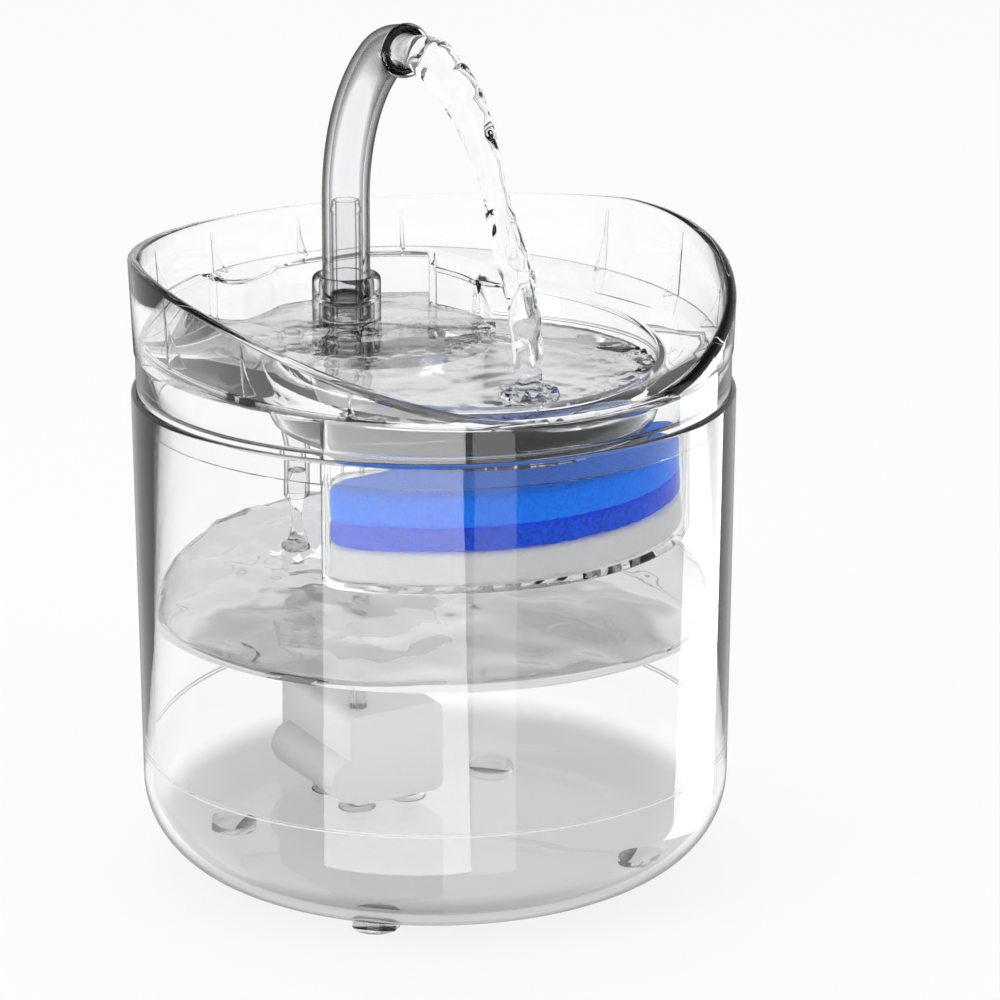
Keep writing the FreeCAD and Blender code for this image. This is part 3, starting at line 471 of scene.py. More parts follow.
def clear_plastic(name, tint, ior, line, start, power=1.3, least_painted_shade=0.0):
    """Clear moulded plastic: bright through its faces, with painted shade, dark where it is seen edge on,
    standing in for the dark lines of refraction.
    """
    f = Finish(name)
    # Painted shade: the edge mask, plus a least share of dark over the whole face.
    edge = (f.painted_edge_mask(start, power, line) + least_painted_shade).clamped()
    clear = f.principled({
        "Base Color": tint, "Roughness": (f.noise(38.0, 3.0) - 0.55).clamped() * 0.05, "IOR": ior,
        "Transmission Weight": 1.0, "Normal": f.bump(f.noise(55.0), 0.05, 0.0006)})
    return f.ended_with_painted_edges(edge, clear)


def thin_plastic(name, start, power):
    """A thin clear wall inside other clear walls: see-through under a faint grey veil, with painted shade,
    dark lines where it is seen edge on.
    """
    f = Finish(name)
    veil_and_painted_edges = (f.noise(40.0, 3.0) * 0.06 + f.painted_edge_mask(start, power, 0.95)).clamped()
    return f.ended(f.principled({
        "Base Color": grey(0.03), "Roughness": f.noise(60.0) * 0.1 + 0.3, "Specular IOR Level": 0.1,
        "Alpha": veil_and_painted_edges}))


def tank_plastic():
    """The tank's plastic: painted shade, greyer towards the base and dark where it is seen edge on, with a
    painted highlight, the bright line where the wall thickens.
    """
    f = Finish("tank_plastic")
    level = f.height()
    edge = f.painted_edge_mask(0.87, 1.2, 0.85)
    # Painted shade: the tint greys below about 18.5 mm.
    low = ((18.5 - level) / 6.0).clamped()
    # Painted highlight: a thin bright band at 38.2 mm, mixed towards white plastic.
    line = (1.0 - ((level - 38.2) ** 2.0) / 0.12).clamped()
    tint = f.blend(low, CLEAR_TINT, (0.58, 0.59, 0.59, 1.0))
    clear = f.principled({
        "Base Color": tint, "Roughness": (f.noise(30.0, 3.0) - 0.5).clamped() * 0.04, "IOR": 1.25,
        "Transmission Weight": 1.0, "Normal": f.bump(f.noise(42.0), 0.04, 0.0006)})
    painted_highlight = f.principled({"Base Color": grey(0.95), "Roughness": 0.5})
    return f.ended_with_painted_edges(edge, f.mixed(line * 0.85, clear, painted_highlight))


def water_finish(name, tint, ior, line):
    f = Finish(name)
    # Painted shade: the water turns black where it is seen edge on, by the line strength.
    edge = f.painted_edge_mask(0.84, 1.0, line)
    clear = f.principled({"Base Color": tint, "Roughness": 0.0, "IOR": ior, "Transmission Weight": 1.0,
                          "Normal": f.bump(f.noise(110.0), 0.06, 0.0006)})
    painted_edge_dark = f.principled({"Base Color": grey(0.02), "Roughness": 0.2})
    return f.ended(f.mixed(edge, clear, painted_edge_dark))


def foam_finish(name, light, dark):
    """Open-cell foam: cells and pores in colour, roughness and bump, with painted shade in the pores and a
    painted glow.
    """
    f = Finish(name)
    cells = f.wire("ShaderNodeTexVoronoi", "Distance", {}, {"Vector": f.place(), "Scale": 900.0})
    pores = (cells * 1.6).clamped()
    patch = f.noise(90.0, 4.0)
    # Painted shade: the colour darkens in the cells' pits, where the bump below sinks; the patch noise is
    # random tone.
    colour = f.blend((pores * 0.65 + patch * 0.35).clamped(), dark, light)
    height = pores + f.noise(1500.0) * 0.4
    # Painted glow: the foam emits its own colour at strength 0.22, standing in for light that the clear walls
    # keep out.
    return f.ended(f.principled({
        "Base Color": colour, "Roughness": 0.75 + patch * 0.2, "Specular IOR Level": 0.15,
        "Sheen Weight": 0.05, "Emission Color": colour, "Emission Strength": 0.22,
        "Normal": f.bump(height, 0.6, 0.0005)}))


def fleece_finish():
    f = Finish("fleece_felt")
    fibre = f.noise(700.0, 6.0, Distortion=3.0)
    colour = f.blend((fibre * 1.3 - 0.15).clamped(), (0.80, 0.81, 0.82, 1.0), (0.97, 0.97, 0.97, 1.0))
    return f.ended(f.principled({
        "Base Color": colour, "Roughness": 0.9, "Sheen Weight": 0.3, "Normal": f.bump(fibre, 0.7, 0.0005)}))


def satin(name, colour, roughness, grain=900.0, depth=0.00004, metallic=0.0, stripe=0.0):
    """Moulded or metal finish with a fine grain."""
    f = Finish(name)
    fine = f.noise(grain, 3.0)
    wear = f.noise(30.0, 4.0)
    shade = tuple(c * 0.86 for c in colour)
    height = fine
    if stripe:
        height = fine + f.wire("ShaderNodeTexWave", "Fac", {"bands_direction": "Y"}, {
            "Vector": f.place(), "Scale": stripe}) * 2.0
    return f.ended(f.principled({
        "Base Color": f.blend((wear * 1.2 - 0.1).clamped(), (*shade, 1.0), (*colour, 1.0)),
        "Roughness": wear * 0.12 + roughness, "Metallic": metallic, "Normal": f.bump(height, 0.5, depth)}))


def rubber_finish():
    f = Finish("clear_silicone")
    # Painted shade: the silicone turns dark grey where it is seen edge on.
    edge = f.painted_edge_mask(0.75, 1.2, 0.4)
    fog = f.noise(200.0, 3.0)
    soft = f.principled({"Base Color": grey(0.96), "Roughness": fog * 0.1 + 0.02, "IOR": 1.2,
                         "Transmission Weight": 0.97, "Normal": f.bump(fog, 0.2, 0.0002)})
    painted_rubber_edge = f.principled({"Base Color": grey(0.12), "Roughness": 0.4})
    return f.ended(f.mixed(edge, soft, painted_rubber_edge))


# Tank and what stands in the tank

def make_tank():
    section = [(0, 2)] + arc((63.7, 29.0), 27.0, -90, 0, 18)
    section += arc((91.1, TANK_RIM - 0.9), 0.9, 0, 90, 4) + arc((90.3, TANK_RIM - 0.9), 0.9, 90, 180, 4)
    section += arc((63.7, 29.4), 24.4, 0, -90, 18) + [(0, TANK_FLOOR)]
    return smooth(turned("tank_shell", section, 180), 30)


def tank_wave(x, y):
    """Level of the rippled water in the tank."""
    swell = unrest(x / 30.0, y / 30.0, 3.1) * 3.0 + unrest(x / 12.0, y / 14.0, 7.7) * 1.3
    away = math.hypot(x - DUCT_X, y - DUCT_Y)
    rings = math.cos(away / 2.4) * 2.6 * math.exp(-away / 20.0)
    churn = unrest(x / 5.0, y / 5.0, 1.3) * 4.0 * math.exp(-away / 26.0)
    return TANK_WATER + swell + rings + churn


def make_tank_water():
    section = [(0, 5.4)] + arc((63.5, 29.2), 23.8, -90, 0, 10)
    section += [(87.9, 82.0), (88.1, 84.6), (87.7, 84.9)]
    section += [(87.0 - 1.5 * i, TANK_WATER) for i in range(58)] + [(0, TANK_WATER)]
    piece = turned("tank_water", section, 160)

    def ripple(x, y, z):
        return x, y, tank_wave(x, y) if z > TANK_WATER - 0.05 else z
    moved(piece, ripple)
    top = [p.index for p in piece.data.polygons if p.center.z / MM > 82.5]
    return smooth(piece, 60), top


def make_riser():
    section = [(3.3, 47.6), (3.6, 47.3), (4.2, 47.3), (4.5, 47.6), (4.5, 193.8), (4.75, 194.2),
               (4.9, 194.6), (4.9, 195.4), (4.75, 195.8), (4.5, 196.2), (4.5, 197.6), (4.1, 198.0),
               (3.7, 198.0), (3.3, 197.6)]
    return smooth(turned("riser_tube", section, 48, (0.0, SPOUT_Y)), 30)


# Drinking tray

def make_collar():
    """The tray's collar: a plain band is spun, then its rings take their place at the rim's height."""
    band = [(90.0, float(i)) for i in range(26)]
    piece = turned("tray_collar", band, 216)

    def place(x, y, z):
        ring, turn = int(round(z)), math.atan2(y, x)
        side = math.sin(turn)
        high_out, high_in = rim(90.5 * side), rim(87.5 * side)
        level = deck(LEDGE * side)
        low = level - DECK_PLATE
        bead = 1.4
        outer, inner = outer_radius(high_out - bead), inner_radius(high_in - bead)
        wide, middle = (outer - inner) / 2, (outer + inner) / 2
        spots = [(87.25, 143.5), (88.65, 143.5), (89.05, 143.9), (89.05, 151.3), (89.25, 151.53),
                 (90.2, 151.53), (90.5, 151.8)]
        for step in (min(163.2, high_out - 2.8), min(163.5, high_out - 2.4), min(164.1, high_out - 2.0),
                     high_out - bead):
            spots.append((outer_radius(step), step))
        for i in range(1, 8):
            a = math.pi * i / 8
            share = (1 - math.cos(a)) / 2
            spots.append((middle + wide * math.cos(a),
                          high_out + (high_in - high_out) * share - bead + bead * math.sin(a)))
        foot = min(level - 0.3, high_in - 1.8)
        spots += [(inner, high_in - bead), (inner_radius(foot), foot),
                  (inner_radius(low), low), (88.4, low), (88.9, low - 0.5), (88.9, 154.2), (88.6, 153.4),
                  (87.25, 152.2)]
        radius, level = spots[ring]
        return radius * math.cos(turn), radius * math.sin(turn), level
    rings = [sum(round(piece.data.vertices[i].co.z / MM) for i in face.vertices) / 4
             for face in piece.data.polygons]
    moved(piece, place)
    choose(piece)
    edit()
    face_out()
    # The lip finish is painted shade: a dark grey plastic standing in for the dark line of refraction along
    # the rim.
    for face, ring in zip(piece.data.polygons, rings):
        face.material_index = 1 if 8.2 < ring < 13.7 else 0  # the rings of the rim's bead take the lip finish
    return smooth(piece, 40)


def make_deck():
    """Deck, bay, island and pool as one sheet of faces, then thickened, rounded and carved."""
    work = bmesh.new()

    def ring(spots):
        return [work.verts.new(Vector(spot) * MM) for spot in spots]

    def walls(high, low):
        for a, b, c, d in zip(high, high[1:], low[1:], low):
            if len({a, b, c, d}) == 4:
                work.faces.new((a, b, c, d))

    def on_deck(spots):
        return [(x, y, deck(y)) for x, y in spots]

    def on_wall(first, last, level, shares):
        """Places along the pool's wall at a level, between two turns."""
        return [(*pool_spot(first + (last - first) * share, level), level) for share in shares]

    def turn_to(spot, middle_y):
        return math.atan2(spot[1] - middle_y, spot[0])

    count, side_count = 84, 14
    centre, _ = pool_ring(ISLAND_TOP)
    floor_centre, _ = pool_ring(POOL_FLOOR)
    low_right, floor_right = island_meet(ISLAND_TOP), island_meet(POOL_FLOOR)
    high_right = island_meet(deck(37.5))
    top_first = turn_to(SIDE_END_HIGH, -13.3)
    top_last = turn_to(high_right, -13.0) + 2 * math.pi
    mid_first = turn_to(SIDE_END_LOW, centre)
    mid_last = turn_to(low_right, centre) + 2 * math.pi
    floor_last = turn_to(floor_right, floor_centre) + 2 * math.pi
    shares = [i / count for i in range(count + 1)]
    lip = ring([lip_spot(top_first + (top_last - top_first) * share) for share in shares])
    middle = ring(on_wall(mid_first, mid_last, ISLAND_TOP, shares))
    floor = ring(on_wall(mid_first, floor_last, POOL_FLOOR, shares))
    walls(lip, middle)
    walls(middle, floor)

    side_shares = [i / side_count for i in range(1, side_count + 1)]
    left_turn = math.atan2(low_right[1] - centre, -low_right[0])
    side_top = [middle[0]] + ring(on_wall(mid_first, left_turn, ISLAND_TOP, side_shares))
    floor_turn = math.atan2(floor_right[1] - floor_centre, -floor_right[0])
    side_low = [floor[0]] + ring(on_wall(mid_first, floor_turn, POOL_FLOOR, side_shares))
    walls(side_low, side_top)

    def island_turn(spot):
        return math.degrees(turn_to(spot, ISLAND_Y))

    def island_arc(start, end, steps):
        return arc((0, ISLAND_Y), ISLAND_RADIUS, start, end, steps)

    def front_arc(spot, level):
        end = island_turn(spot)
        return [(x, y, level) for x, y in island_arc(-180 - end, end, 48)][1:-1]

    front_top = [side_top[-1]] + ring(front_arc(low_right, ISLAND_TOP)) + [middle[-1]]
    front_low = [side_low[-1]] + ring(front_arc(floor_right, POOL_FLOOR)) + [floor[-1]]
    walls(front_low, front_top)

    foot_turn, high_turn, low_turn = (island_turn(spot) for spot in (STEP_FOOT, high_right, low_right))
    side_high = [lip[-1]] + ring(on_deck(island_arc(high_turn, foot_turn, 9)[1:]))
    side_mid = [middle[-1]] + ring([(x, y, ISLAND_TOP) for x, y in island_arc(low_turn, foot_turn, 9)[1:]])
    back = bay_back()
    back_high = ring(on_deck(back))
    back_mid = ring([(x, y, ISLAND_TOP) for x, y in back])
    walls(side_high + back_high, side_mid + back_mid)
    side_front_high = ring(on_deck([SIDE_FRONT]))
    reach = LEDGE + 0.5
    ledge_plan = [back_point(reach, BAY_LEFT + (BAY_FRONT - BAY_LEFT) * i / 16) for i in range(1, 16)]
    ledge_mid = ring([(x, y, ISLAND_TOP) for x, y in ledge_plan + [SIDE_FRONT]])
    ledge_high = ring(on_deck(ledge_plan))
    walls([lip[0]] + side_front_high, [middle[0]] + [ledge_mid[-1]])
    walls([back_high[-1]] + ledge_high + side_front_high, [back_mid[-1]] + ledge_mid)

    outside = ring(on_deck([back_point(reach, BAY_FRONT - (360 + BAY_FRONT - BAY_LEFT) * i / 120)
                            for i in range(1, 120)]))
    work.faces.new(side_front_high + outside + back_high[::-1] + side_high[::-1] + lip[-2::-1])
    work.faces.new(ledge_mid + side_top + front_top[1:] + side_mid[1:] + back_mid)
    work.faces.new(floor + front_low[-2::-1] + side_low[-2:0:-1])
    mesh = bpy.data.meshes.new("tray_deck")
    bmesh.ops.recalc_face_normals(work, faces=work.faces[:])
    deck_face = next(face for face in work.faces if len(face.verts) > 150)
    if deck_face.normal.z < 0:
        bmesh.ops.reverse_faces(work, faces=work.faces[:])
    work.to_mesh(mesh)
    work.free()
    piece = bpy.data.objects.new("tray_deck", mesh)
    bpy.context.collection.objects.link(piece)
    shaped(piece, "SOLIDIFY", thickness=DECK_PLATE * MM, offset=-1.0, use_even_offset=True,
           use_quality_normals=True)
    moved(piece, lambda x, y, z: (x, y, max(z, POOL_FLOOR - DECK_PLATE)))
    # The bevels take the lip finish, painted shade drawn as dark lines along the rounded edges.
    shaped(piece, "BEVEL", width=0.9 * MM, segments=3, limit_method="ANGLE", angle_limit=math.radians(35),
           harden_normals=False, use_clamp_overlap=True, material=1)
    tools = [rod("riser_hole", 5.2, 150, 170, 32, (0.0, SPOUT_Y)),
             rod("duct_hole", 3.1, 150, 170, 24, (DUCT_X, DUCT_Y))]
    drains, drain_turn, drain_reach, half_length, half_width = 7, 6.875, 48.0, 2.0, 1.2
    for i in range(drains):
        turn = math.radians(drain_turn * (i - drains // 2))
        along = Vector((math.sin(turn), -math.cos(turn), 0))
        across = Vector((math.cos(turn), math.sin(turn), 0))
        middle_spot = Vector((0, POOL_Y, 140)) + along * drain_reach
        corners = [middle_spot + along * a * half_length + across * c * half_width
                   for a, c in ((-1, -1), (-1, 1), (1, 1), (1, -1))]
        tools.append(plate("drain_tool", corners, (0, 0, 12)))
        # The drains' walls take the lip finish, painted shade inside each slot.
        for face in tools[-1].data.polygons:
            face.material_index = 1
    for tool in tools:
        carved(piece, tool)
    # The upper band of every upright wall takes the lip finish: painted shade, a dark band along the top of
    # each wall
    band = 1.6
    work = bmesh.new()
    work.from_mesh(piece.data)
    for level, slope in ((DECK_LEVEL - band, DECK_SLOPE), (ISLAND_TOP - band, 0.0)):
        bmesh.ops.bisect_plane(work, geom=work.verts[:] + work.edges[:] + work.faces[:], dist=1e-7,
                               plane_co=(0, 0, level * MM), plane_no=Vector((0, -slope, 1)).normalized())
    for face in work.faces:
        x, y, z = face.calc_center_median() / MM
        upright = abs(face.normal.z) < 0.6
        near_island = abs(math.hypot(x, y - ISLAND_Y) - ISLAND_RADIUS) < 1.0 and y < ISLAND_Y
        if upright and (0.1 < deck(y) - z < band or (near_island and 0.1 < ISLAND_TOP - z < band)):
            face.material_index = 1
        elif upright and face.calc_area() / MM ** 2 > 1.5 and z > ISLAND_TOP:
            face.material_index = 0
    work.to_mesh(piece.data)
    work.free()
    return smooth(piece, 30)


def make_socket():
    section = [(7.8, 157.6), (10.8, 157.6), (10.8, 172.6), (10.5, 173.4), (9.9, 174.0), (8.6, 174.0),
               (8.1, 173.8), (7.8, 173.3), (7.8, 167.2), (8.3, 166.9), (8.75, 166.4), (8.9, 166.0),
               (8.75, 165.6), (8.3, 165.1), (7.8, 164.8)]
    return smooth(turned("spout_socket", section, 64, (0.0, SPOUT_Y)), 40)


def make_duct():
    section = [(3.1, 100.4), (3.4, 100.0), (3.9, 100.0), (4.2, 100.4), (4.2, 156.2), (3.1, 156.2)]
    return smooth(turned("cable_duct_tube", section, 40, (DUCT_X, DUCT_Y)), 40)


def make_gussets():
    """Thin curved gussets between the deck and the collar, one drawn out for each place."""
    fins = []
    for i in range(16):
        turn = math.radians(90 + 22.5 * i)
        along = Vector((math.cos(turn), math.sin(turn), 0))
        across = Vector((-math.sin(turn), math.cos(turn), 0))
        low, high = deck(LEDGE * along.y) - 0.4, rim(LEDGE * along.y) - 4.0
        if high - low < 5.0:
            continue
        outline = []
        for j in range(9):
            share = j / 8
            level = low + (high - low) * share
            reach = inner_radius(level) + 0.4 - 5.6 * (1 - share) ** 2.2 - 0.2
            outline.append(along * reach + Vector((0, 0, level)) - across * 0.5)
        for level in (high, low):
            outline.append(along * (inner_radius(level) + 0.4) + Vector((0, 0, level)) - across * 0.5)
        fins.append(plate("gusset", outline, across))
    piece = joined("tray_gussets", fins)
    shaped(piece, "BEVEL", width=0.3 * MM, segments=2, limit_method="ANGLE", angle_limit=math.radians(50))
    return smooth(piece, 30)


def make_pool_water():
    """The water in the tray: a rippled slab fitted into the bay and the pool."""
    over_island = ISLAND_TOP + WATER_GAP
    room = plate("water_room", [(x, y, over_island) for x, y in water_outline(POOL_WATER)], (0, 0, 12))
    bowl = rod("pool_room", 1.0, POOL_FLOOR + WATER_GAP, 175.0, 96)

    def cone(x, y, z):
        centre, radius = pool_ring(z)
        return x * (radius - WATER_GAP), centre + y * (radius - WATER_GAP), z
    moved(bowl, cone)
    carved(bowl, rod("island_tool", ISLAND_RADIUS + WATER_GAP, 140, over_island, 96, (0.0, ISLAND_Y)))
    carved(room, bowl, "UNION")
    deselect()
    bpy.ops.mesh.primitive_grid_add(x_subdivisions=120, y_subdivisions=120, size=190 * MM,
                                    location=(0, 0, POOL_WATER * MM))
    piece = placed(started("pool_water"))
    edit()
    select_all()
    extrude((0, 0, -20 * MM))
    face_out()

    def ripple(x, y, z):
        if z < POOL_WATER - 1:
            return x, y, z
        away = math.hypot(x, y + 57.0)
        rings = math.cos(away / 1.6) * 0.5 * math.exp(-away / 13.0)
        island_gap = abs(math.hypot(x, y - ISLAND_Y) - ISLAND_RADIUS)
        wash = unrest(x / 4.0, y / 4.0, 9.0) * 0.5 * math.exp(-island_gap / 7.0) * (1 if y < 40 else 0.2)
        wall_gap = 59.5 - math.hypot(x, y + 15.7)
        edge = unrest(x / 3.4, y / 3.4, 5.0) * 1.5 * math.exp(-abs(wall_gap) / 8.0)
        edge *= 1.3 if y < -25 else 0.2
        swell = unrest(x / 17.0, y / 17.0, 2.0) * 0.35
        return x, y, POOL_WATER + rings + wash + edge + swell
    moved(piece, ripple)
    carved(piece, room, "INTERSECT")
    return smooth(piece, 50)


# Spout and its stream

def make_spout():
    """The gooseneck: the outer skin up the stem and round both bends, the lip, the foot and the bore."""
    deselect()
    foot = (0, SPOUT_Y * MM, SPOUT_FOOT * MM)
    bpy.ops.mesh.primitive_circle_add(vertices=56, radius=SPOUT_RADIUS * MM, location=foot)
    piece = placed(started("gooseneck"))

    def widen(factor, middle):
        bpy.ops.transform.resize(value=(factor,) * 3, center_override=middle)

    def walk():
        for _ in range(4):
            extrude((0, 0, SPOUT_STEM / 4 * MM))
        for steps, bend, y, z in ((22, 50, -8.0, 196.8), (14, 40, MOUTH_Y, 227.75)):
            bpy.ops.mesh.spin(steps=steps, angle=math.radians(bend), center=(0, y * MM, z * MM),
                              axis=(-1, 0, 0))
    edit()
    select_all()
    walk()
    last, width = MOUTH_Y, SPOUT_RADIUS
    for y, wanted in ((17.8, 8.0), (17.4, 8.35), (16.9, 8.45), (16.4, 8.3), (15.95, 7.8), (15.8, 7.1),
                      (15.9, 6.3), (16.3, 5.6), (16.9, SPOUT_BORE)):
        extrude((0, (y - last) * MM, 0))
        widen(wanted / width, (0, y * MM, MOUTH_LEVEL * MM))
        last, width = y, wanted
    leave()
    picked(piece, lambda spot: spot.z < SPOUT_FOOT + 0.01)
    extrude((0, 0, 0))
    widen(SPOUT_BORE / SPOUT_RADIUS, foot)
    walk()
    extrude((0, (last - MOUTH_Y) * MM, 0))
    merge(2e-5)
    face_out()
    return smooth(piece, 40)


# The stream's path from the mouth down: y, level, radius and twist in degrees
STREAM = [(24.0, 250.3, 4.2, 0), (17.0, 252.0, 4.9, 8), (10.0, 252.6, 5.9, 20), (3.0, 252.3, 6.6, 35),
          (-5.0, 250.2, 6.7, 50), (-12.6, 246.8, 6.5, 62), (-19.0, 242.4, 6.4, 74),
          (-24.9, 237.4, 6.3, 85), (-29.0, 232.0, 6.1, 96), (-32.2, 226.8, 5.7, 108),
          (-35.5, 221.4, 5.0, 124), (-38.4, 215.9, 4.4, 142), (-42.0, 209.4, 4.9, 160),
          (-46.3, 202.3, 5.7, 176), (-49.8, 196.6, 5.2, 190), (-52.5, 191.3, 4.3, 206),
          (-54.2, 185.2, 4.6, 224), (-55.5, 179.4, 5.2, 240), (-56.6, 171.6, 4.9, 256),
          (-57.2, 165.0, 4.6, 268), (LANDING_Y, 159.8, 5.2, 280)]


def make_stream():
    """The arc of water: a flattened, twisting section carried along a smooth path."""
    deselect()
    bpy.ops.curve.primitive_nurbs_circle_add(radius=MM)
    section = bpy.context.object
    section.scale = (1.0, 0.78, 1.0)
    section.data.resolution_u = 6
    deselect()
    bpy.ops.curve.primitive_nurbs_path_add()
    path = bpy.context.object
    spline = path.data.splines[0]
    spline.points.add(len(STREAM) - len(spline.points))
    for point, (y, z, radius, twist) in zip(spline.points, STREAM):
        point.co = (0, y * MM, z * MM, 1)
        point.radius = radius
        point.tilt = math.radians(twist)
    spline.order_u = 4
    spline.use_endpoint_u = True
    path.data.resolution_u = 7
    path.data.bevel_mode = "OBJECT"
    path.data.bevel_object = section
    path.data.use_fill_caps = True
    choose(path)
    bpy.ops.object.convert(target="MESH")
    piece = started("water_stream")
    bpy.data.objects.remove(section)
    edit()
    merge()
    face_out()

    def ruffle(x, y, z):
        size = 0.75 if z < 248 else 0.35
        spot = Vector((x / 3.2, y / 3.6, z / 6.5))
        return (x + noise.noise(spot) * size, y + noise.noise(spot + Vector((9, 0, 0))) * size, z)
    moved(piece, ruffle)
    return smooth(piece, 60)


def make_splash():
    """The raised ring of water where the stream lands."""
    section = arc((7.6, 161.3), 1.5, -90, 270, 10)[:-1]
    piece = turned("stream_splash", section, 56, (0.0, LANDING_Y))

    def crown(x, y, z):
        turn = math.atan2(y - LANDING_Y, x)
        lift = unrest(math.cos(turn) * 2.6, math.sin(turn) * 2.6, 4.0)
        spread = 1.0 + 0.22 * unrest(math.cos(turn) * 1.7, math.sin(turn) * 1.7, 8.0)
        high = (z - LANDING_LEVEL) * (1.0 + 1.2 * lift)
        return x * spread, LANDING_Y + (y - LANDING_Y) * spread, LANDING_LEVEL + high
    return smooth(moved(piece, crown), 60)


def make_trickle():
    """Water that runs back through the duct and falls into the tank."""
    section = [(0, 84.0), (4.6, 84.2), (3.4, 86.0), (2.3, 89.0), (1.8, 93.0), (2.1, 97.0), (2.7, 101.0),
               (2.9, 108.0), (0, 108.0)]
    piece = turned("duct_trickle", section, 32, (DUCT_X, DUCT_Y))
    choose(piece)
    edit()
    select_all()
    bpy.ops.mesh.subdivide(number_cuts=2, smoothness=0.6)
    leave()

    def twist(x, y, z):
        if z > 100:
            return x, y, z
        share = (100 - z) / 15
        spot = Vector((x / 4.0, y / 4.0, z / 5.0))
        return (x + (noise.noise(spot) * 1.6 + math.sin(z / 2.3) * 0.9) * share,
                y + noise.noise(spot + Vector((5, 5, 0))) * 1.6 * share, z)
    return smooth(moved(piece, twist), 60)


# Filter basket and pads

def d_outline(radius, back, corner, level):
    """A round front and a flat back with rounded corners."""
    middle_y = back - corner
    middle_x = math.sqrt((radius - corner) ** 2 - middle_y ** 2)
    turn = math.degrees(math.atan2(middle_y, middle_x))
    right = arc((middle_x, middle_y), corner, turn, 90, 8)
    left = [(-x, y) for x, y in right[::-1]]
    front = arc((0, 0), radius, 180 - turn - 360, turn, 64)[1:-1]
    return [(x, y, level) for x, y in right + left + front]


def under_pool(x, y):
    """Lowest level at which the outside of the pool's bowl stands over a point."""
    level = POOL_FLOOR - 2.6
    while level < 168.0:
        centre, radius = pool_ring(level + DECK_PLATE)
        if math.hypot(x, y - centre) < radius + 3.2:
            return level
        level += 0.5
    return 168.0


def make_basket():
    outline = d_outline(BASKET_RADIUS, BASKET_BACK, BASKET_CORNER, BASKET_BASE)
    piece = plate("basket_shell", outline, (0, 0, 30))
    picked(piece, lambda spot, normal: normal.z > 0.9, faces=True)
    bpy.ops.mesh.inset(thickness=1.6 * MM)
    extrude((0, 0, -28.2 * MM))
    bpy.ops.mesh.select_mode(type="VERT")
    leave()

    def fit(x, y, z):
        if z < 138.0:
            return x, y, z
        return x, y, min(deck(y) - DECK_PLATE - 0.5, under_pool(x, y))
    moved(piece, fit)
    shaped(piece, "BEVEL", width=0.6 * MM, segments=3, limit_method="ANGLE", angle_limit=math.radians(50))
    for i in range(-6, 7):
        x = 8.0 * i
        reach = math.sqrt(BASKET_RADIUS ** 2 - x ** 2) + BASKET_BACK - 24.0
        if reach > 4:
            start = BASKET_BACK - 7.0
            corners = [(x - 1.5, start - reach, 107), (x + 1.5, start - reach, 107),
                       (x + 1.5, start, 107), (x - 1.5, start, 107)]
            carved(piece, plate("vent_tool", corners, (0, 0, 4)))
    for face in piece.data.polygons:
        x, y, z = face.center / MM
        if z < BASKET_BASE + 2.0 and abs(face.normal.z) < 0.5 and math.hypot(x, y) < BASKET_RADIUS - 4.0:
            face.material_index = 1
    return smooth(piece, 30)


def make_pad(name, low, high, pile):
    """A soft pad: a D block, rounded, remeshed and gently uneven."""
    outline = d_outline(BASKET_RADIUS - 2.3, BASKET_BACK - 2.3, BASKET_CORNER - 2.2, low)
    piece = plate(name, outline, (0, 0, high - low))
    shaped(piece, "BEVEL", width=1.2 * MM, segments=3, limit_method="ANGLE", angle_limit=math.radians(50))
    shaped(piece, "REMESH", mode="VOXEL", voxel_size=1.1 * MM, use_smooth_shade=True)
    middle = (low + high) / 2

    def uneven(x, y, z):
        fine = unrest(x / 2.1, y / 2.1, z / 2.1) * pile
        broad = unrest(x / 14.0, y / 14.0, middle) * 0.25
        side = 1 if z > middle else -1
        swollen = 1 + fine * 0.004
        return x * swollen, y * swollen, z + side * min(0.0, broad) + side * fine * 0.3
    moved(piece, uneven)
    return smooth(piece, 60)


# Camera, light and floor

def make_camera():
    """The photograph's view; the focal length and the picture's width are in pixels."""
    back = Vector((-0.4796, -0.8307, 0.2827)).normalized()
    aim, distance = Vector((17.41, -10.05, 114.5)), 1.4
    focal, picture_width, sensor = 4565.0, 1000.0, 36.0
    view = bpy.data.objects.new("camera", bpy.data.cameras.new("camera"))
    view.data.sensor_width = sensor
    view.data.lens = focal * sensor / picture_width
    view.data.clip_end = 20.0
    view.location = aim * MM + back * distance
    view.rotation_euler = back.to_track_quat("Z", "Y").to_euler()
    bpy.context.collection.objects.link(view)
    bpy.context.scene.camera = view


def make_lamp(name, spot, aim, size, power, only_gloss=False):
    lamp = bpy.data.lights.new(name, "AREA")
    lamp.shape = "RECTANGLE"
    lamp.size, lamp.size_y = size
    lamp.energy = power
    item = bpy.data.objects.new(name, lamp)
    item.location = spot
    item.rotation_euler = (Vector(spot) - Vector(aim)).to_track_quat("Z", "Y").to_euler()
    bpy.context.collection.objects.link(item)
    item.visible_camera = False
    if only_gloss:
        item.visible_diffuse = False
        item.visible_transmission = False
    return item


def around(angle, distance, height):
    """A place in the studio: angle from the camera's side, positive to its right."""
    turn = math.radians(-120.0 + angle)
    return distance * math.cos(turn), distance * math.sin(turn), height


def rays(finish, *names):
    """Wires of the light path, one for each kind of ray."""
    path = finish.add("ShaderNodeLightPath", {}, {})
    return [Wire(finish, path.outputs[name]) for name in names]


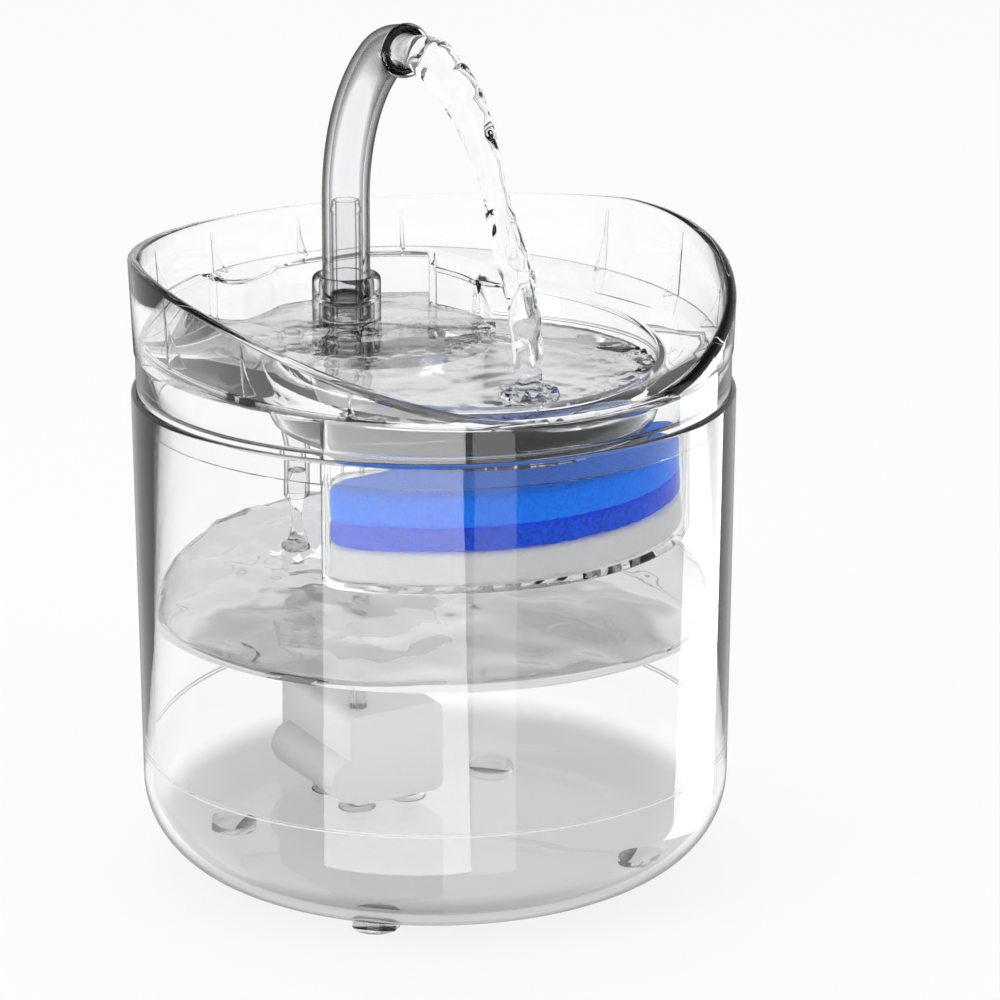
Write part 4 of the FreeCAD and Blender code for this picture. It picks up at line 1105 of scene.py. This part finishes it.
def make_studio():
    """White all round, with what the glossy faces mirror graded above and below the horizon."""
    bpy.context.scene.view_settings.view_transform = "Standard"
    f = Finish("studio", world=True)
    camera, glossy, through = rays(f, "Is Camera Ray", "Is Glossy Ray", "Is Transmission Ray")
    direct = (camera + glossy + through).clamped()
    spot = f.wire("ShaderNodeTexCoord", "Generated")
    up = f.wire("ShaderNodeSeparateXYZ", "Z", {}, {"Vector": spot})
    roof = ((up - 0.5) / 0.25).clamped() * glossy
    below = ((-0.04 - up) / 0.08).clamped() * glossy
    from_camera = (0.5, 0.866, 0.0)
    away = f.wire("ShaderNodeVectorMath", "Value", {"operation": "DOT_PRODUCT"}, {0: spot, 1: from_camera})
    ground = f.blend(((away + 0.1) / 0.35).clamped(), grey(0.10), grey(0.95))
    shade = f.blend(below, f.blend(roof, grey(1.0), grey(0.2)), ground)
    glow = f.wire("ShaderNodeBackground", 0, {}, {"Color": shade, "Strength": 1.0})
    soft = f.wire("ShaderNodeBackground", 0, {}, {"Color": grey(0.62), "Strength": 1.0})
    bpy.context.scene.world = f.ended(f.mixed(direct, soft, glow))

    deselect()
    bpy.ops.mesh.primitive_circle_add(vertices=96, radius=3.0, fill_type="NGON", location=(0, 0, -0.0002))
    floor = placed(started("studio_floor"))
    f = Finish("floor_paper")
    camera, through = rays(f, "Is Camera Ray", "Is Transmission Ray")
    seen = camera * 0.86 + through
    paper = f.principled({"Base Color": grey(0.9), "Roughness": f.noise(40.0) * 0.1 + 0.7})
    light = f.wire("ShaderNodeEmission", 0, {}, {"Color": grey(1.0), "Strength": 1.0})
    floor.data.materials.append(f.ended(f.mixed(seen.clamped(), paper, light)))
    floor.visible_glossy = False

    make_lamp("key_softbox", around(-50, 1.5, 1.3), (0, 0, 0.12), (0.9, 0.9), 9.0)
    make_lamp("fill_softbox", around(60, 1.6, 1.0), (0, 0, 0.12), (0.8, 1.2), 5.0)
    make_lamp("top_softbox", (0.1, 0.5, 1.7), (0, 0, 0.12), (0.9, 0.9), 6.0)
    make_lamp("gloss_card_wide", around(-14, 1.2, -0.28), (0, 0, 0.08), (1.2, 0.7), 44.0, True)
    make_lamp("gloss_card_slim", around(22.5, 1.2, -0.28), (0, 0, 0.08), (0.34, 0.7), 3.7, True)
    make_lamp("gloss_card_side", around(122, 1.2, -0.28), (0, 0, 0.08), (0.7, 0.7), 12.0, True)


def finish_with(piece, body, materials, nodes=()):
    piece.data.materials.clear()
    for material in materials:
        piece.data.materials.append(material)
    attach(piece, body)
    if nodes:
        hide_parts(*nodes)
    return piece


def main():
    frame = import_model()
    make_camera()
    make_studio()

    thin_tint = (0.97, 0.972, 0.975, 1.0)
    tank = tank_plastic()
    # Each clear plastic below carries painted shade, dark where it is seen edge on, set by its line, start
    # and power.
    tray = clear_plastic("tray_plastic", CLEAR_TINT, ior=1.32, line=0.95, start=0.8)
    # The lip finish is painted shade: dark grey plastic, dark all over by its least share, laid on the tray's
    # rims, bevels and wall tops.
    lip = clear_plastic("tray_painted_rim_shade", (0.35, 0.355, 0.36, 1.0), ior=1.45, line=0.6, start=0.3, power=1.0,
                        least_painted_shade=0.78)
    spout = clear_plastic("spout_plastic", (0.95, 0.955, 0.96, 1.0), ior=1.3, line=1.0, start=0.36, power=0.6)
    socket = clear_plastic("socket_plastic", (0.96, 0.965, 0.97, 1.0), ior=1.12, line=1.0, start=0.45,
                           power=0.9)
    riser = thin_plastic("riser_plastic", start=0.4, power=0.9)
    basket = clear_plastic("basket_plastic", thin_tint, ior=1.06, line=0.8, start=0.74)
    vents = clear_plastic("basket_vents", thin_tint, ior=1.06, line=0.0, start=0.9)
    fin = clear_plastic("gusset_plastic", thin_tint, ior=1.2, line=0.9, start=0.6)
    duct = thin_plastic("duct_plastic", start=0.45, power=0.9)
    # Painted shade: the tank water's surface and the tray's pool water are tinted grey, where clear water has
    # no tint.
    surface = water_finish("water_surface_painted_grey", (0.50, 0.505, 0.51, 1.0), 1.33, 0.3)
    body = water_finish("water_body", (0.99, 0.99, 0.99, 1.0), 1.01, 0.0)
    pool = water_finish("pool_water", (0.72, 0.725, 0.73, 1.0), 1.33, 0.9)
    jet = water_finish("stream_water", (0.97, 0.975, 0.98, 1.0), 1.33, 0.8)
    rubber = rubber_finish()
    white = satin("pump_plastic", (0.93, 0.93, 0.93), 0.32)

    finish_with(make_tank(), "base", [tank], ["tank"])
    water, top = make_tank_water()
    finish_with(water, "base", [body, surface])
    for index in top:
        water.data.polygons[index].material_index = 1
    finish_with(make_riser(), "base", [riser], ["riser_pipe"])
    for make, materials in ((make_collar, [tray, lip]), (make_deck, [tray, lip]), (make_socket, [socket]),
                            (make_duct, [duct]), (make_gussets, [fin])):
        finish_with(make(), "tray", materials, ["drinking_tray"])
    finish_with(make_pool_water(), "tray", [pool])
    finish_with(make_trickle(), "tray", [jet])
    finish_with(make_spout(), "gooseneck", [spout], ["spout"])
    finish_with(make_stream(), "gooseneck", [jet])
    finish_with(make_splash(), "gooseneck", [jet])
    finish_with(make_basket(), "filter", [basket, vents], ["filter_basket"])
    for name, low, high, pile, material, slot, node in (
            ("fleece_pad", 110.9, 120.8, 1.0, fleece_finish(), "white_fleece", "filter_fleece"),
            ("foam_pad_lower", 120.95, 127.85, 0.8,
             foam_finish("deep_blue_foam", (0.0, 0.09, 0.85, 1.0), (0.0, 0.02, 0.30, 1.0)),
             "deep_blue_foam", "filter_foam_lower"),
            ("foam_pad_upper", 128.0, 137.5, 0.8,
             foam_finish("blue_foam", (0.0, 0.22, 1.0, 1.0), (0.0, 0.10, 0.82, 1.0)),
             "blue_foam", "filter_foam_upper")):
        pad = finish_with(make_pad(name, low, high, pile), "filter", [material], [node])

    dressed = {
        "clear_feet": rubber, "spout_seal": rubber, "outlet_sleeve": rubber, "cover_gasket": rubber,
        "cable_gland": rubber, "suction_cups": rubber, "pump_housing": white, "pump_end_cap": white,
        "intake_cover": white, "shaft_bush_front": white, "shaft_bush_rear": white, "impeller": white,
        "rotor_magnet": satin("magnet_ferrite", (0.06, 0.06, 0.065), 0.5, 1400.0),
        "stator_core": satin("steel_laminations", (0.42, 0.43, 0.45), 0.35, 500.0, 0.00005, 1.0, 320.0),
        "stator_coils": satin("copper_winding", (0.62, 0.28, 0.12), 0.3, 400.0, 0.00008, 1.0, 500.0),
        "rotor_shaft": satin("shaft_steel", (0.72, 0.73, 0.75), 0.18, 300.0, 0.00001, 1.0),
        "driver_board": satin("board_laminate", (0.02, 0.22, 0.08), 0.4, 600.0),
    }
    for name, material in dressed.items():
        for place in frame["nodes"][name].material_slots:
            place.material = material


main()
